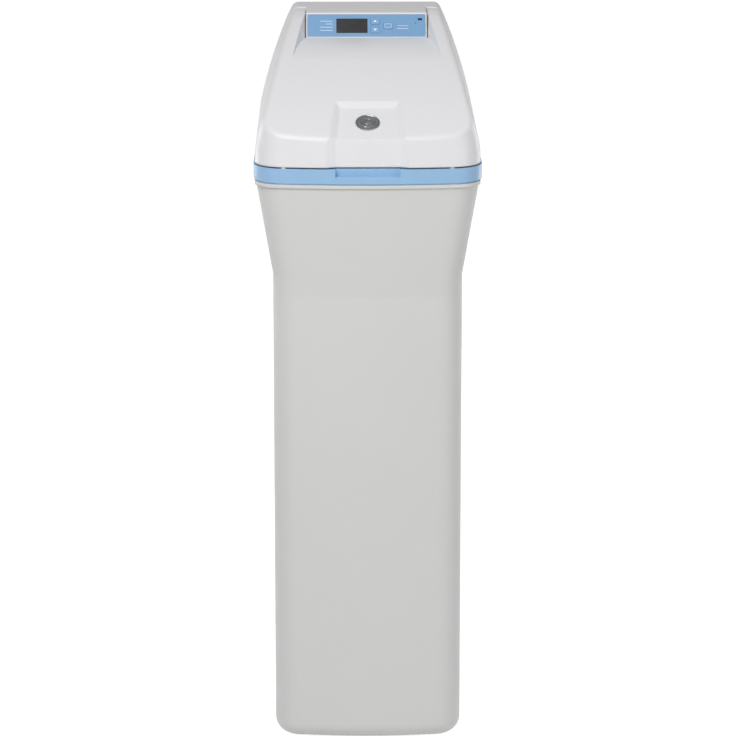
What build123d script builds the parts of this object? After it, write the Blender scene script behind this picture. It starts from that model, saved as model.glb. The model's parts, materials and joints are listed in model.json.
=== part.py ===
from build123d import *
from math import acos, atan2, cos, degrees, pi, radians, sin, sqrt, tan
import os

# Cabinet water softener: a tall salt tank with a blue rim, a hinged salt lid, a control pod,
# and the resin tank, rotary valve, brine well and bypass valve that it holds.
# Millimetres. Lengths along Y are measured back from the front of the rim, heights from the floor.

# Whole cabinet
overall_width = 355
overall_depth = 560
overall_height = 1132
bypass_reach = 80
cabinet_depth = overall_depth - bypass_reach
bow = 16
overrun = 20
seat_gap = 0.2
running_gap = 0.08

# Rim and hood heights, from the top down
hood_height = 196
rim_height = 25
rim_top = overall_height - hood_height
rim_bottom = rim_top - rim_height

# Salt tank
shell_setback = 2
lower_inset = 29
lower_half = overall_width / 2 - lower_inset
lower_front = 22
top_inset = 3.5
top_half = overall_width / 2 - top_inset
top_front = 3
tank_rear = cabinet_depth - shell_setback
front_taper = 182
side_taper = 153
front_knee = rim_bottom - front_taper
side_knee = rim_bottom - side_taper
lip_height = 6
lip_step = 1.5
tank_wall = 4
tank_corner = 42
tank_rear_corner = 28
tank_bottom_round = 26
foot_height = 3
foot_width = 45.5
foot_length = 56

# Rim
rim_wall = 3
rim_corner = 50
rim_rear_corner = 6
rim_bevel = 2.5
skirt_depth = 9
coaming_inset = 39.5
salt_half = overall_width / 2 - coaming_inset
salt_front = 34
salt_corner = 26
coaming_height = 8
neck_hole_radius = 74
grip_half = 50
grip_line_half = 62
grip_height = 12
grip_depth = 11
grip_bevel = 3
bumper_inset = 47.5
bumper_x = overall_width / 2 - bumper_inset
bumper_y = 13
bumper_radius = 4
lid_gap = 2

# Hood: the common outer form of the salt lid and the rear cover
hood_setback = 2
hood_half = overall_width / 2 - hood_setback
hood_front = 1.5
hood_rear = cabinet_depth - shell_setback
cover_depth = 100
seam_y = cabinet_depth - cover_depth
crease_y = 7
crease_height = 46
crease_z = rim_top + crease_height
crown_radius = 185
crown_turn_share = 0.849
side_upright = 14
side_bend = 80
side_lean = 12.5
side_inset_top = 57.4
hood_corner = 48
hood_edge = 12
hood_rear_round = 36
hood_wall = 3

# Control pod
pod_margin = 20.9
pod_half = hood_half - side_inset_top - pod_margin
pod_depth = 80
pod_drop = 37
pod_y = seam_y - pod_depth
pod_z = overall_height - pod_drop
pod_tilt = 56.7
pod_face_height = 43.8
pod_edge_round = 5
pod_wall = 3.4
pod_under = 17
pod_bottom = pod_z - pod_under
pod_lip = 2.4
pod_lip_y = pod_y + pod_lip
plate_margin = 2.4
plate_half = pod_half - plate_margin
plate_bottom = 1.6
plate_height = 39
plate_thickness = 1.6
plate_corner = 1.5
window_x = -23.4
window_up = 20.5
window_width = 50
window_height = 25
window_rest = 1.2
button_width = 15
button_height = 11.5
button_round = 3
button_gap = 0.3
button_proud = 0.5
button_stem = 4
button_travel = 0.8
button_flange = 1
button_flange_gap = 0.2
arrow_x = 14
arrow_up_height = 28.5
arrow_down_height = 13.5
select_x = 34.8
select_up = 20.4
indicator_margin = 8.6
indicator_x = plate_half - indicator_margin
indicator_up = 32
indicator_width = 7.4
indicator_height = 3.6
indicator_round = 1.6
indicator_rest = 0.6
board_depth = 12
board_margin = 7.6
board_half = plate_half - board_margin
board_height = 34
board_thickness = 1.6
board_rest = 4
post_radius = 3
switch_size = 6
switch_height = 3.5
socket_width = 22
socket_height = 9
socket_depth = 8

# Salt lid
hinge_radius = 9
lid_seam = 1.5
cover_edge_round = 6
notch_y = pod_y - lid_seam
notch_half = pod_half + lid_seam
ledge_length = 110
ledge_plan_angle = 14
ledge_side_angle = 17
ledge_cut_depth = 34
ledge_cut_height = 40
scoop_half = 50
scoop_rear_half = 43
scoop_rear_y = 79.5
scoop_depth = 5
scoop_face_depth = 8
scoop_face_spread = 22
scoop_high_spread = 17
scoop_side_spread = 13
scoop_back_spread = 7
scoop_rear_spread = 12.5
scoop_top = 9
badge_y = 49
badge_radius = 19
badge_height = 2.6
badge_shares = (
    (0, 0), (1, 0), (1, 0.42), (0.94, 0.62), (0.88, 0.62), (0.86, 0.48), (0.8, 0.48), (0.78, 0.72),
    (0.5, 0.9), (0.48, 0.76), (0.42, 0.76), (0.4, 0.94), (0, 1),
)
knuckle_width = 15
pin_radius = 3
pin_reach = 15
pin_hold = 9
lid_rib_y = 120
lid_rib_height = 9
lid_rib_wall = 2
lid_rib_shares = (-0.52, 0.52)

# Rear cover
extension_y = pod_lip_y + pod_wall + seat_gap
extension_gap = 4
cover_wall = 2.5
port_half = 88
port_rise = 3
port_window_height = 63
port_bottom = rim_top + port_rise
port_top = port_bottom + port_window_height
port_corner = 10
gland_inset = 63.5
gland_rise = 86
gland_x = gland_inset - hood_half
gland_z = rim_top + gland_rise
gland_radius = 7
gland_bore = 3.6
gland_flange = 10
gland_length = 14
gland_flange_height = 2.5
cover_screw_inset = 40.5
cover_screw_rise = 14
cover_screw_x = hood_half - cover_screw_inset
cover_screw_z = rim_top + cover_screw_rise
screw_post_half = 7
screw_post_height = 26
screw_post_depth = 13
screw_head = 4.5
screw_head_height = 2.6
screw_shank = 2
screw_length = 12
screw_slot = 1.2
tube_hole_radius = 8

# Resin tank and what stands in it
tank_setback = 110
neck_sink = 24
tank_y = cabinet_depth - tank_setback
vessel_radius = 101.5
vessel_wall = 3.5
vessel_bottom = 16
vessel_dome = 75
neck_radius = 34
neck_bore = 29
neck_rise = 100
neck_top = rim_top - neck_sink
vessel_shoulder = neck_top - neck_rise
flange_radius = 40
flange_height = 8
salt_back_gap = 14
salt_rear = tank_y - neck_hole_radius - salt_back_gap
boot_radius = 99
boot_slots = 4
boot_slot_half = 8
boot_height = 58
boot_wall = 4
bed_drop = 180
bed_top = vessel_shoulder - bed_drop
bed_gap = 0.3
riser_radius = 13.5
riser_wall = 1.8
riser_bottom = 40
riser_reach = 22
riser_top = neck_top + riser_reach
basket_bottom = 24
basket_wall = 2
basket_radius = 30
basket_height = 46
basket_slots = 12
basket_slot_width = 2.4
top_basket_radius = 26
top_basket_height = 60
clamp_radius = 47
clamp_lip = 2.6
clamp_gap = 0.3
clamp_ear = 13
clamp_split = 3
clamp_bolt_radius = 2.5

# Rotary valve
valve_bottom = neck_top
cup_rise = 15
cup_depth = 23
cup_floor_height = 47
cup_bottom = neck_top + cup_rise
cup_floor = cup_bottom + cup_floor_height
cup_top = cup_floor + cup_depth
cup_radius = 52
cup_bore = 46
valve_flange_radius = 60
valve_flange_height = 9
port_x = 40
port_height = 45
port_z = neck_top + port_height
port_radius = 15
port_bore = 11
port_reach = 20
port_end = cabinet_depth + port_reach
channel_radius = 8
valve_screw_count = 6
screw_start = 30
valve_screw_circle = 55
cover_height = 10
hub_radius = 13
hub_height = 4
shaft_radius = 7
rotor_radius = 45
rotor_height = 12
rotor_gap = 0.3
rotor_slots = 4
rotor_slot_radius = 30
rotor_slot_width = 9
rotor_slot_angle = 48
rotor_turn_share = 0.5
dog_half = 4

# Gear train on the valve
gear_module = 1.5
gear_teeth = 54
pinion_teeth = 18
gear_height = 10
gear_rise = 1
pressure_angle = 20
gear_backlash = 0.24
addendum_share = 0.9
dedendum_share = 1.2
gear_rim_wall = 5
gear_web_height = 3
gear_spokes = 6
spoke_width = 7
cam_radius = 30
cam_height = 5
cam_lobe = 3
cam_lobes = 4
cam_lobe_angle = 26
motor_plate_gap = 7
motor_plate_height = 2.5
plate_post_radius = 5
plate_post_angles = (120, 240)
plate_post_circle = 53
plate_disc_radius = 60
plate_window_radius = 26
ear_x = 84
ear_radius = 12
motor_radius = 23
motor_height = 21
motor_round = 2
motor_ear = 30
motor_ear_radius = 5.5
motor_ear_height = 2
motor_shaft = 2.5
motor_shaft_reach = 8
pinion_hub = 6
sensor_length = 26
sensor_width = 16
sensor_height = 10.5
switch_gap = 0.5
plunger_radius = 1.8

# Venturi, drain and turbine meter
venturi_x = -72
venturi_offset = 32
venturi_rise = 38
venturi_y = tank_y - venturi_offset
venturi_z = neck_top + venturi_rise
venturi_radius = 22
venturi_height = 20
venturi_cap_height = 10
venturi_cap_step = 2
venturi_cap_ribs = 12
venturi_rib_width = 3
venturi_neck = 9
venturi_port = 7
venturi_port_length = 9
tube_radius = 4.75
tube_wall = 1
drain_radius = 6
drain_bore = 4
drain_x = 78
drain_offset = 20
drain_height = 55
drain_y = tank_y - drain_offset
drain_z = neck_top + drain_height
drain_rise = 20
drain_run = 54
drain_rise_y = drain_y + drain_run
drain_reach = 28
drain_end = cabinet_depth + drain_reach
drain_bend = 12
drain_boss = 10
drain_boss_end = 62
barb_step = 1.4
barb_pitch = 6
barb_count = 3
turbine_inset = 38
turbine_y = port_end - turbine_inset
turbine_radius = 10
turbine_length = 9
turbine_hub = 3
turbine_blades = 6
blade_width = 1.4
blade_pitch = 25
turbine_axle = 1.2
spider_length = 4
spider_arm = 2
spider_arms = 3
axle_gap = 0.06

# Bypass valve at the back
bypass_gap = 14
bypass_y = port_end + bypass_gap
barrel_radius = 19
barrel_half = 66
barrel_bore = 12
socket_radius = 20
socket_length = 30
socket_front = bypass_y - socket_length
rear_socket_length = 23
socket_rear = bypass_y + rear_socket_length
rear_socket_radius = 18
socket_shoulder = 0.3
spool_travel = 22
spool_neck = 8
spool_land = 10
spool_land_shares = (-0.92, 0)
knob_radius = 15
knob_height = 12
knob_round = 2
knob_gap = 0.6
adapter_radius = 12.7
adapter_bore = 10.5
adapter_insert = 10
collar_radius = 17.5
collar_length = 9
clip_width = 6
clip_wall = 2.4
clip_opening = 80

# Brine well in the salt compartment
well_x = venturi_x
well_setback = 138
well_y = tank_y - well_setback
well_radius = 38
well_wall = 2.5
well_sink = 20
well_top = neck_top - well_sink
well_slots = 8
well_slot_rows = 5
well_slot_width = 3
well_slot_height = 26
well_slot_pitch = 40
well_slot_start = 24
well_cap_height = 8
well_cap_skirt = 12
well_cap_wall = 2
riser_foot = 24
brine_foot_radius = 12
brine_foot_height = 22
brine_foot_slots = 3
float_radius = 26
float_height = 46
float_bottom = 66
float_travel = 25
float_round = 5
float_gap = 0.4
nut_radius = 9
nut_height = 16
nut_sink = 14
nut_top = well_top - nut_sink
tube_seat = 3
tube_end_depth = 12
stop_radius = 9
stop_height = 4
tube_bend = 34

# Overflow at the back of the tank
overflow_inset = 50.5
overflow_drop_height = 106
overflow_x = lower_half - overflow_inset
overflow_z = side_knee - overflow_drop_height
overflow_radius = 8
overflow_bore = 6
overflow_reach = 24
overflow_drop = 34
overflow_bend = 12
grommet_radius = 13
grommet_groove = 10.5
grommet_lip = 2.5

# Sizes that follow from those above
crown_chord = degrees(atan2(overall_height - crease_z, seam_y - crease_y))
crown_angle = crown_turn_share * crown_chord
deck_bottom = rim_top - rim_wall
lid_bottom = rim_top + lid_gap
hinge_y = seam_y - hinge_radius
hinge_z = overall_height - hinge_radius
cover_front = seam_y + lid_seam
floor_top = foot_height + tank_wall
ledge_y = pod_y - ledge_length
gear_pitch = gear_module * gear_teeth / 2
pinion_pitch = gear_module * pinion_teeth / 2
centre_distance = gear_pitch + pinion_pitch
cover_z = cup_top
cover_top = cover_z + cover_height
gear_z = cover_top + hub_height + gear_rise
motor_plate_z = gear_z + gear_height + cam_height + motor_plate_gap
motor_base = motor_plate_z + motor_plate_height
pod_face = Plane(
    origin=(0, pod_y, pod_z),
    x_dir=(1, 0, 0),
    z_dir=(0, -sin(radians(pod_tilt)), cos(radians(pod_tilt))),
)


def plan_face(z, half_width, y_front, y_rear, corner, rear_corner):
    """Outline seen from above, straight at the back and bowed at the front, at height z."""
    front_edge = ThreePointArc(
        (-half_width, y_front + bow), (0, y_front), (half_width, y_front + bow)
    )
    rest = Polyline(
        (half_width, y_front + bow), (half_width, y_rear), (-half_width, y_rear), (-half_width, y_front + bow)
    )
    face = make_face([front_edge, *rest.edges()])
    corners = face.vertices().sort_by(Axis.Y)
    face = fillet(corners[:2], corner)
    corners = face.vertices().sort_by(Axis.Y)
    return Pos(0, 0, z) * fillet(corners[-2:], rear_corner)


def upright(radius, z0, z1, x=0, y=0):
    """Cylinder standing between two heights."""
    return Pos(x, y, z0) * Cylinder(radius, z1 - z0, align=(Align.CENTER, Align.CENTER, Align.MIN))


def along_y(radius, y0, y1, x, z):
    """Cylinder lying along Y between two places."""
    bar = Cylinder(radius, y1 - y0, align=(Align.CENTER, Align.CENTER, Align.MIN))
    return Pos(x, y0, z) * Rot(-90, 0, 0) * bar


def along_x(radius, x0, x1, y, z):
    """Cylinder lying along X between two places."""
    bar = Cylinder(radius, x1 - x0, align=(Align.CENTER, Align.CENTER, Align.MIN))
    return Pos(x0, y, z) * Rot(0, 90, 0) * bar


def block(x0, x1, y0, y1, z0, z1):
    """Rectangular block between two corners."""
    corner = (Align.MIN, Align.MIN, Align.MIN)
    return Pos(x0, y0, z0) * Box(x1 - x0, y1 - y0, z1 - z0, align=corner)


def upright_face(points):
    """Face in the YZ plane through points given as (y, z)."""
    return make_face(Polyline(*[(0, y, z) for y, z in points], close=True))


def extrude_x(face, half):
    """Solid that reaches half to each side of the YZ plane."""
    return extrude(face, amount=half, dir=(1, 0, 0), both=True)


def tank_form(inset, bottom):
    """Outer form of the salt tank, or its inside where inset is the wall."""
    corners = (tank_corner - inset, tank_rear_corner - inset)
    rear = tank_rear - inset
    half = lower_half - inset
    front = lower_front + inset
    knee_run = (side_knee - front_knee) / (rim_bottom - front_knee) * (lower_front - top_front)
    lower = extrude(plan_face(bottom, half, front, rear, *corners), amount=front_knee - bottom)
    lower = fillet(lower.faces().sort_by(Axis.Z)[0].edges(), tank_bottom_round - inset)
    sections = [
        plan_face(front_knee, half, front, rear, *corners),
        plan_face(side_knee, half, front - knee_run, rear, *corners),
        plan_face(rim_bottom, top_half - inset, top_front + inset, rear, *corners),
    ]
    return lower + loft(sections, ruled=True)


def make_salt_tank():
    """Open tank that stands on its four rounded corners, with a lip under the rim."""
    lip_low = rim_bottom - lip_height
    lip_plan = plan_face(lip_low, top_half + lip_step, top_front - lip_step, tank_rear, tank_corner,
                         tank_rear_corner)
    tank = tank_form(0, 0) + extrude(lip_plan, amount=lip_height)
    foot_x = lower_half - foot_width
    tank -= block(-foot_x, foot_x, -overrun, tank_rear + overrun, -overrun, foot_height)
    tank -= block(-overall_width, overall_width, lower_front + bow + foot_length, tank_rear - foot_length,
                  -overrun, foot_height)
    tank -= tank_form(tank_wall, floor_top)
    mouth = plan_face(lip_low, top_half - tank_wall, top_front + tank_wall, tank_rear - tank_wall,
                      tank_corner - tank_wall, tank_rear_corner - tank_wall)
    tank -= extrude(mouth, amount=lip_height + overrun)
    tank -= along_y(grommet_groove, tank_rear - tank_wall - overrun, tank_rear + overrun, overflow_x,
                    overflow_z)
    return tank


def rim_plan(z, inset):
    """Outline of the rim, moved in by a length."""
    return plan_face(z, overall_width / 2 - inset, inset, cabinet_depth - inset, rim_corner - inset,
                     rim_rear_corner - inset)


def skirt_plan(z, inset, ease):
    """Outline of the skirt that fits in the tank's mouth, moved in by a length."""
    gap = tank_wall + seat_gap + inset
    return plan_face(z, top_half - gap - ease, top_front + gap + ease, tank_rear - gap, tank_corner - gap,
                     tank_rear_corner - gap)


def make_rim():
    outer = extrude(rim_plan(rim_bottom, 0), amount=rim_height)
    outer = chamfer(outer.faces().sort_by(Axis.Z)[0].edges(), rim_bevel)
    rim = outer - extrude(rim_plan(rim_bottom, rim_wall), amount=deck_bottom - rim_bottom)
    ease = skirt_depth * (top_half - lower_half) / (rim_bottom - side_knee)
    skirt_low = rim_bottom - skirt_depth
    skirt = extrude(skirt_plan(skirt_low, 0, ease), amount=deck_bottom - skirt_low)
    skirt -= extrude(skirt_plan(skirt_low, rim_wall, ease), amount=deck_bottom - skirt_low)
    ledge = extrude(rim_plan(rim_bottom, rim_bevel), amount=rim_wall)
    ledge -= extrude(skirt_plan(rim_bottom, 0, ease), amount=rim_wall)
    rim += [skirt, ledge]
    opening = RectangleRounded(2 * salt_half, salt_rear - salt_front, salt_corner)
    coaming_plan = offset(opening, rim_wall)
    middle = (salt_front + salt_rear) / 2
    coaming = extrude(coaming_plan, amount=rim_wall + coaming_height)
    rim += Pos(0, middle, deck_bottom) * coaming
    through = extrude(opening, amount=2 * overrun + rim_wall + coaming_height)
    rim -= Pos(0, middle, deck_bottom - overrun) * through
    rim -= upright(neck_hole_radius, deck_bottom - overrun, rim_top + overrun, y=tank_y)
    return rim - grip_cut(0) + (outer & grip_wall()) - grip_cut(0)


def grip_cut(grow):
    """Finger recess in the front of the rim, with a bevelled lower edge."""
    floor = rim_top - grip_height - grow
    back = grip_depth + grow
    face = upright_face([
        (-overrun, rim_top + overrun),
        (back, rim_top + overrun),
        (back, floor),
        (grip_bevel, floor),
        (-overrun, floor - overrun * grip_bevel / grip_depth - grip_bevel),
    ])
    return extrude_x(face, grip_half + grow)


def grip_wall():
    """Wall behind the finger recess."""
    return block(-grip_line_half, grip_line_half, 0, grip_depth + rim_wall, rim_bottom, rim_top)


def top_curve(inset):
    """Edges of the hood's crown from the crease to the level top, in the YZ plane."""
    turn = radians(crown_angle)
    level = Vector(0, seam_y, overall_height - inset)
    shoulder = level - Vector(0, crown_radius * sin(turn), crown_radius * (1 - cos(turn)))
    half_turn = turn / 2
    middle = level - Vector(0, crown_radius * sin(half_turn), crown_radius * (1 - cos(half_turn)))
    crease = Vector(0, crease_y, crease_z - inset)
    crown = ThreePointArc(level, middle, shoulder)
    slope = TangentArc(shoulder, crease, tangent=(0, -cos(turn), -sin(turn)))
    return crown, slope


def side_profile(inset):
    """Hood seen from the side, with the bottom and front run past the form."""
    crown, slope = top_curve(inset)
    rear = hood_rear - inset
    top = overall_height - inset
    rounding = hood_rear_round - inset
    crease = slope @ 1
    lead = slope % 1
    ahead = crease + lead * overrun
    low = rim_top - overrun
    back = Line((0, seam_y, top), (0, rear - rounding, top))
    turn = TangentArc((0, rear - rounding, top), (0, rear, top - rounding), tangent=(0, 1, 0))
    base = Polyline((0, rear, top - rounding), (0, rear, low), (0, ahead.Y, low), ahead, crease)
    return make_face([crown, slope, back, turn, *base.edges()])


def front_profile(inset):
    """Hood seen from the front: upright at the rim, then a soft bend and walls that lean in."""
    base = hood_half - inset
    top = overall_height + overrun
    low = rim_top - overrun
    turn = radians(side_lean)
    bend = side_bend - inset
    edges = []
    for side in (-1, 1):
        start = Vector(side * base, 0, rim_top + side_upright)
        bent = start + Vector(-side * bend * (1 - cos(turn)), 0, bend * sin(turn))
        high = Vector(side * (hood_half - side_inset_top - inset), 0, overall_height)
        edges.append(Line((side * base, 0, low), start))
        edges.append(TangentArc(start, bent, tangent=(0, 0, 1)))
        edges.append(TangentArc(bent, high, tangent=(-side * sin(turn), 0, cos(turn))))
        edges.append(Line(high, (high.X, 0, top)))
    edges.append(Line((-base, 0, low), (base, 0, low)))
    half = hood_half - side_inset_top - inset
    edges.append(Line((-half, 0, top), (half, 0, top)))
    return make_face(edges)


def hood_form(inset):
    """Form of the whole hood, or its inside where inset is the wall."""
    low = rim_top - overrun
    height = overall_height + overrun - low
    lean = (crease_y + seat_gap - hood_front) / (crease_z - lid_bottom)
    front = hood_front + inset - lean * (lid_bottom - low)
    wide = overall_width
    spread = bow * (2 * wide / overall_width) ** 2
    arc = ThreePointArc((-wide, front + spread, low), (0, front, low), (wide, front + spread, low))
    rest = Polyline(arc @ 1, (wide, overall_depth, low), (-wide, overall_depth, low), arc @ 0)
    form = extrude(make_face([arc, *rest.edges()]), amount=height * sqrt(1 + lean**2), dir=(0, lean, 1))
    form &= extrude_x(side_profile(inset), overall_width)
    form &= extrude(front_profile(inset), amount=cabinet_depth + overrun, dir=(0, 1, 0), both=True)
    low_edge = form.bounding_box().min.Z + seat_gap
    posts = [e for e in form.edges() if e.bounding_box().min.Z < low_edge]
    posts = [e for e in posts if e.bounding_box().size.Z > seat_gap]
    form = fillet([e for e in posts if e.center().Y < seam_y / 2], hood_corner - inset)
    crease = [e for e in form.edges() if e.bounding_box().min.Y < crease_y + inset + hood_front
              and e.bounding_box().min.Z > (lid_bottom + crease_z) / 2]
    return fillet(crease, hood_edge - inset)


def crown_z(y):
    """Height of the hood's sloping crown at a place along its middle."""
    slope = top_curve(0)[1]
    middle = slope.arc_center
    return middle.Z + sqrt(slope.radius**2 - (y - middle.Y) ** 2)


def trough(plane, floor_points, mouth_points, depth, height):
    """Solid between a floor outline below a plane and a wider mouth above it."""
    floor = Plane(plane.location * Pos(0, 0, -depth)) * make_face(Polyline(*floor_points, close=True))
    mouth = Plane(plane.location * Pos(0, 0, height)) * make_face(Polyline(*mouth_points, close=True))
    return loft([floor, mouth], ruled=True)


def sloping_plane(y, z, angle):
    """Plane that rises backwards from a line along X."""
    turn = radians(angle)
    return Plane(origin=(0, y, z), x_dir=(1, 0, 0), z_dir=(0, -sin(turn), cos(turn)))


def ledge_cut(grow):
    """Recess in front of the pod: a ledge that runs out in the crown, with leaning sides."""
    front = pod_y - ledge_y
    rear = seam_y - pod_y
    widen = tan(radians(ledge_plan_angle))
    lean = tan(radians(ledge_side_angle))
    front_half = notch_half + grow + widen * front
    rear_half = notch_half + grow - widen * rear
    outline = [(-front_half, -front), (front_half, -front), (rear_half, rear), (-rear_half, rear)]
    inward = lean * ledge_cut_depth
    outward = lean * ledge_cut_height
    floor = [(x - inward if x > 0 else x + inward, y) for x, y in outline]
    mouth = [(x + outward if x > 0 else x - outward, y) for x, y in outline]
    sides = trough(sloping_plane(pod_y, pod_z, 0), floor, mouth, ledge_cut_depth, ledge_cut_height)
    high = overall_height + overrun
    start = Vector(0, pod_y, pod_z - grow)
    end = Vector(0, ledge_y, crown_z(ledge_y) + seat_gap - grow)
    run_out = TangentArc(start, end, tangent=(0, -1, 0))
    rest = Polyline(end, (0, ledge_y, high), (0, seam_y + overrun, high), (0, seam_y + overrun, start.Z),
                    start)
    return sides & extrude_x(make_face([run_out, *rest.edges()]), overall_width)


def scoop_angle():
    """Slope of the scoop's floor."""
    rear_y = scoop_rear_y + scoop_rear_spread
    return degrees(atan2(crown_z(rear_y) - crease_z, rear_y - crease_y))


def scoop_cut(grow):
    """Finger scoop: a shallow trough down the slope and a deeper one in the front face."""
    angle = scoop_angle()
    length = (scoop_rear_y + scoop_rear_spread - crease_y) / cos(radians(angle))
    depth = scoop_depth + grow
    rise = (depth + scoop_top) / scoop_depth
    front = 2 * overrun
    rear = length - scoop_rear_spread + grow
    wide = scoop_half + grow
    narrow = scoop_rear_half + grow
    side = wide + rise * scoop_side_spread
    back = narrow + rise * scoop_back_spread
    deep = rear + rise * scoop_rear_spread
    floor = [(-wide, -front), (wide, -front), (narrow, rear), (-narrow, rear)]
    mouth = [(-side, -front), (side, -front), (back, deep), (-back, deep)]
    top = trough(sloping_plane(crease_y, crease_z, angle), floor, mouth, depth, scoop_top)
    lean = degrees(atan2(crease_z - lid_bottom, crease_y - hood_front))
    height = crease_z - lid_bottom + scoop_depth
    face_depth = scoop_face_depth + grow
    rise = (face_depth + scoop_top) / scoop_face_depth
    low = wide + rise * scoop_face_spread
    high = wide + rise * scoop_high_spread
    floor = [(-wide, -front), (wide, -front), (wide, height), (-wide, height)]
    mouth = [(-low, -front), (low, -front), (high, height), (-high, height)]
    face = trough(sloping_plane(hood_front, lid_bottom, lean), floor, mouth, face_depth, scoop_top)
    return top + face


def make_salt_lid(outer, inner):
    body = outer - ledge_cut(0) - scoop_cut(0)
    hollow = inner - ledge_cut(hood_wall) - scoop_cut(hood_wall)
    wide = hood_half + overrun
    room = block(-wide, wide, -overrun, seam_y, lid_bottom, overall_height + overrun)
    lid = (body & room) - hollow
    for low in (-notch_half - knuckle_width, notch_half):
        knuckle = along_x(hinge_radius, low, low + knuckle_width, hinge_y, hinge_z)
        web = block(low, low + knuckle_width, hinge_y - 2 * hinge_radius, hinge_y, hinge_z, overall_height)
        lid += (knuckle + web) & outer
    corner = block(-wide, wide, hinge_y, seam_y + overrun, hinge_z, overall_height + overrun)
    lid -= corner - along_x(hinge_radius, -wide, wide, hinge_y, hinge_z)
    for share in lid_rib_shares:
        x = share * hood_half
        rib = block(x, x + lid_rib_wall, lid_rib_y, pod_y - lid_rib_y / 2, lid_bottom, overall_height)
        under = Pos(0, 0, -lid_rib_height) * inner
        lid += (rib & hollow) - under
    lid -= block(-notch_half, notch_half, notch_y, seam_y + overrun, lid_bottom - overrun,
                 overall_height + overrun)
    bore = pin_radius + running_gap
    lid -= along_x(bore, -notch_half - pin_reach - lid_seam, notch_half + pin_reach + lid_seam, hinge_y,
                   hinge_z)
    return lid


def make_lid_badge():
    """Low round badge with plain rings, seated on the floor of the scoop."""
    angle = scoop_angle()
    along = (badge_y - crease_y) / cos(radians(angle))
    seat = sloping_plane(crease_y, crease_z, angle).location * Pos(0, along, -scoop_depth)
    points = [(across * badge_radius, up * badge_height) for across, up in badge_shares]
    badge = revolve(Plane.XZ * make_face(Polyline(*points, close=True)), Axis.Z)
    return seat * badge


def make_lid_bumpers():
    pad = Cylinder(bumper_radius, lid_gap - running_gap, align=(Align.CENTER, Align.CENTER, Align.MIN))
    return Compound([Pos(x, bumper_y, rim_top) * pad for x in (-bumper_x, bumper_x)])


def make_hinge_pins():
    start = pod_half - pod_wall - pin_hold
    end = notch_half + pin_reach
    pins = [along_x(pin_radius, start, end, hinge_y, hinge_z),
            along_x(pin_radius, -end, -start, hinge_y, hinge_z)]
    return Compound(pins)


def make_rear_cover(outer, inner):
    under_lid = hood_wall + extension_gap
    low_outer = hood_form(under_lid) - ledge_cut(under_lid)
    low_inner = hood_form(under_lid + cover_wall) - ledge_cut(under_lid + cover_wall)
    wide = hood_half + overrun
    high = overall_height + overrun
    seam_wall = cover_front + cover_wall
    cover = (outer & block(-wide, wide, cover_front, hood_rear + overrun, rim_top, high)) - inner
    cover += (outer & block(-wide, wide, cover_front, seam_wall, rim_top, high)) - low_inner
    cover += (low_outer & block(-wide, wide, extension_y, seam_wall, rim_top, high)) - low_inner
    cover += low_outer & block(-wide, wide, extension_y, extension_y + cover_wall, rim_top, high)
    bay = hinge_radius + 2 * lid_seam
    gutter = along_x(bay + cover_wall, -wide, wide, hinge_y, hinge_z)
    cover += gutter & block(-wide, wide, 0, seam_wall, 0, hinge_z) & low_outer
    cover -= block(-pod_half, pod_half, extension_y + cover_wall, cover_front, pod_bottom, high)
    cover -= block(-pod_half, pod_half, -overrun, extension_y + cover_wall, pod_bottom + hinge_radius, high)
    bay_front = hinge_y - 2 * hinge_radius - lid_seam
    bay_length = notch_half + knuckle_width + lid_seam - pod_half
    cover -= along_x(bay, -wide, wide, hinge_y, hinge_z) & block(-wide, wide, 0, cover_front, 0, high)
    for low in (-pod_half - bay_length, pod_half):
        cover -= block(low, low + bay_length, bay_front, cover_front, hinge_z - 2 * lid_seam, high)
    for low in (-pod_half - seat_gap, pod_half - pod_wall - seat_gap):
        cover -= block(low, low + pod_wall + 2 * seat_gap, extension_y - overrun, cover_front, pod_bottom,
                       high)
    rounding = block(-wide, wide, cover_front, cover_front + cover_edge_round,
                     overall_height - cover_edge_round, high)
    rounding -= along_x(cover_edge_round, -wide, wide, cover_front + cover_edge_round,
                        overall_height - cover_edge_round)
    rounding -= block(-pod_half, pod_half, cover_front, seam_wall + cover_edge_round, 0, high)
    cover -= rounding
    window = RectangleRounded(2 * port_half, port_top - port_bottom, port_corner)
    place = Pos(0, hood_rear - hood_wall - overrun, (port_bottom + port_top) / 2) * Rot(90, 0, 0)
    cover -= place * extrude(window, amount=-2 * overrun - hood_wall)
    cover -= along_y(gland_radius, hood_rear - hood_wall - overrun, hood_rear + overrun, gland_x, gland_z)
    for x in (-cover_screw_x, cover_screw_x):
        cover -= along_y(screw_shank + running_gap, hood_rear - hood_wall - overrun, hood_rear + overrun, x,
                         cover_screw_z)
    tube_z = venturi_z + venturi_height / 2
    cover -= along_y(tube_hole_radius, extension_y - overrun, extension_y + cover_wall + overrun, well_x,
                     tube_z)
    return cover


def make_screw_posts():
    """Posts on the rim that take the screws of the rear cover."""
    rear = hood_rear - hood_wall
    posts = []
    for x in (-cover_screw_x, cover_screw_x):
        post = block(x - screw_post_half, x + screw_post_half, rear - screw_post_depth, rear, deck_bottom,
                     rim_top + screw_post_height)
        posts.append(post - along_y(screw_shank, rear - screw_length, rear + overrun, x, cover_screw_z))
    return posts


def make_cover_screws():
    screws = []
    for x in (-cover_screw_x, cover_screw_x):
        head = along_y(screw_head, hood_rear, hood_rear + screw_head_height, x, cover_screw_z)
        slot = block(x - screw_head, x + screw_head, hood_rear + screw_head_height / 2, hood_rear + overrun,
                     cover_screw_z - screw_slot / 2, cover_screw_z + screw_slot / 2)
        shank = along_y(screw_shank, hood_rear - hood_wall - screw_length, hood_rear, x, cover_screw_z)
        screws.append(head - slot + shank)
    return Compound(screws)


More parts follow.
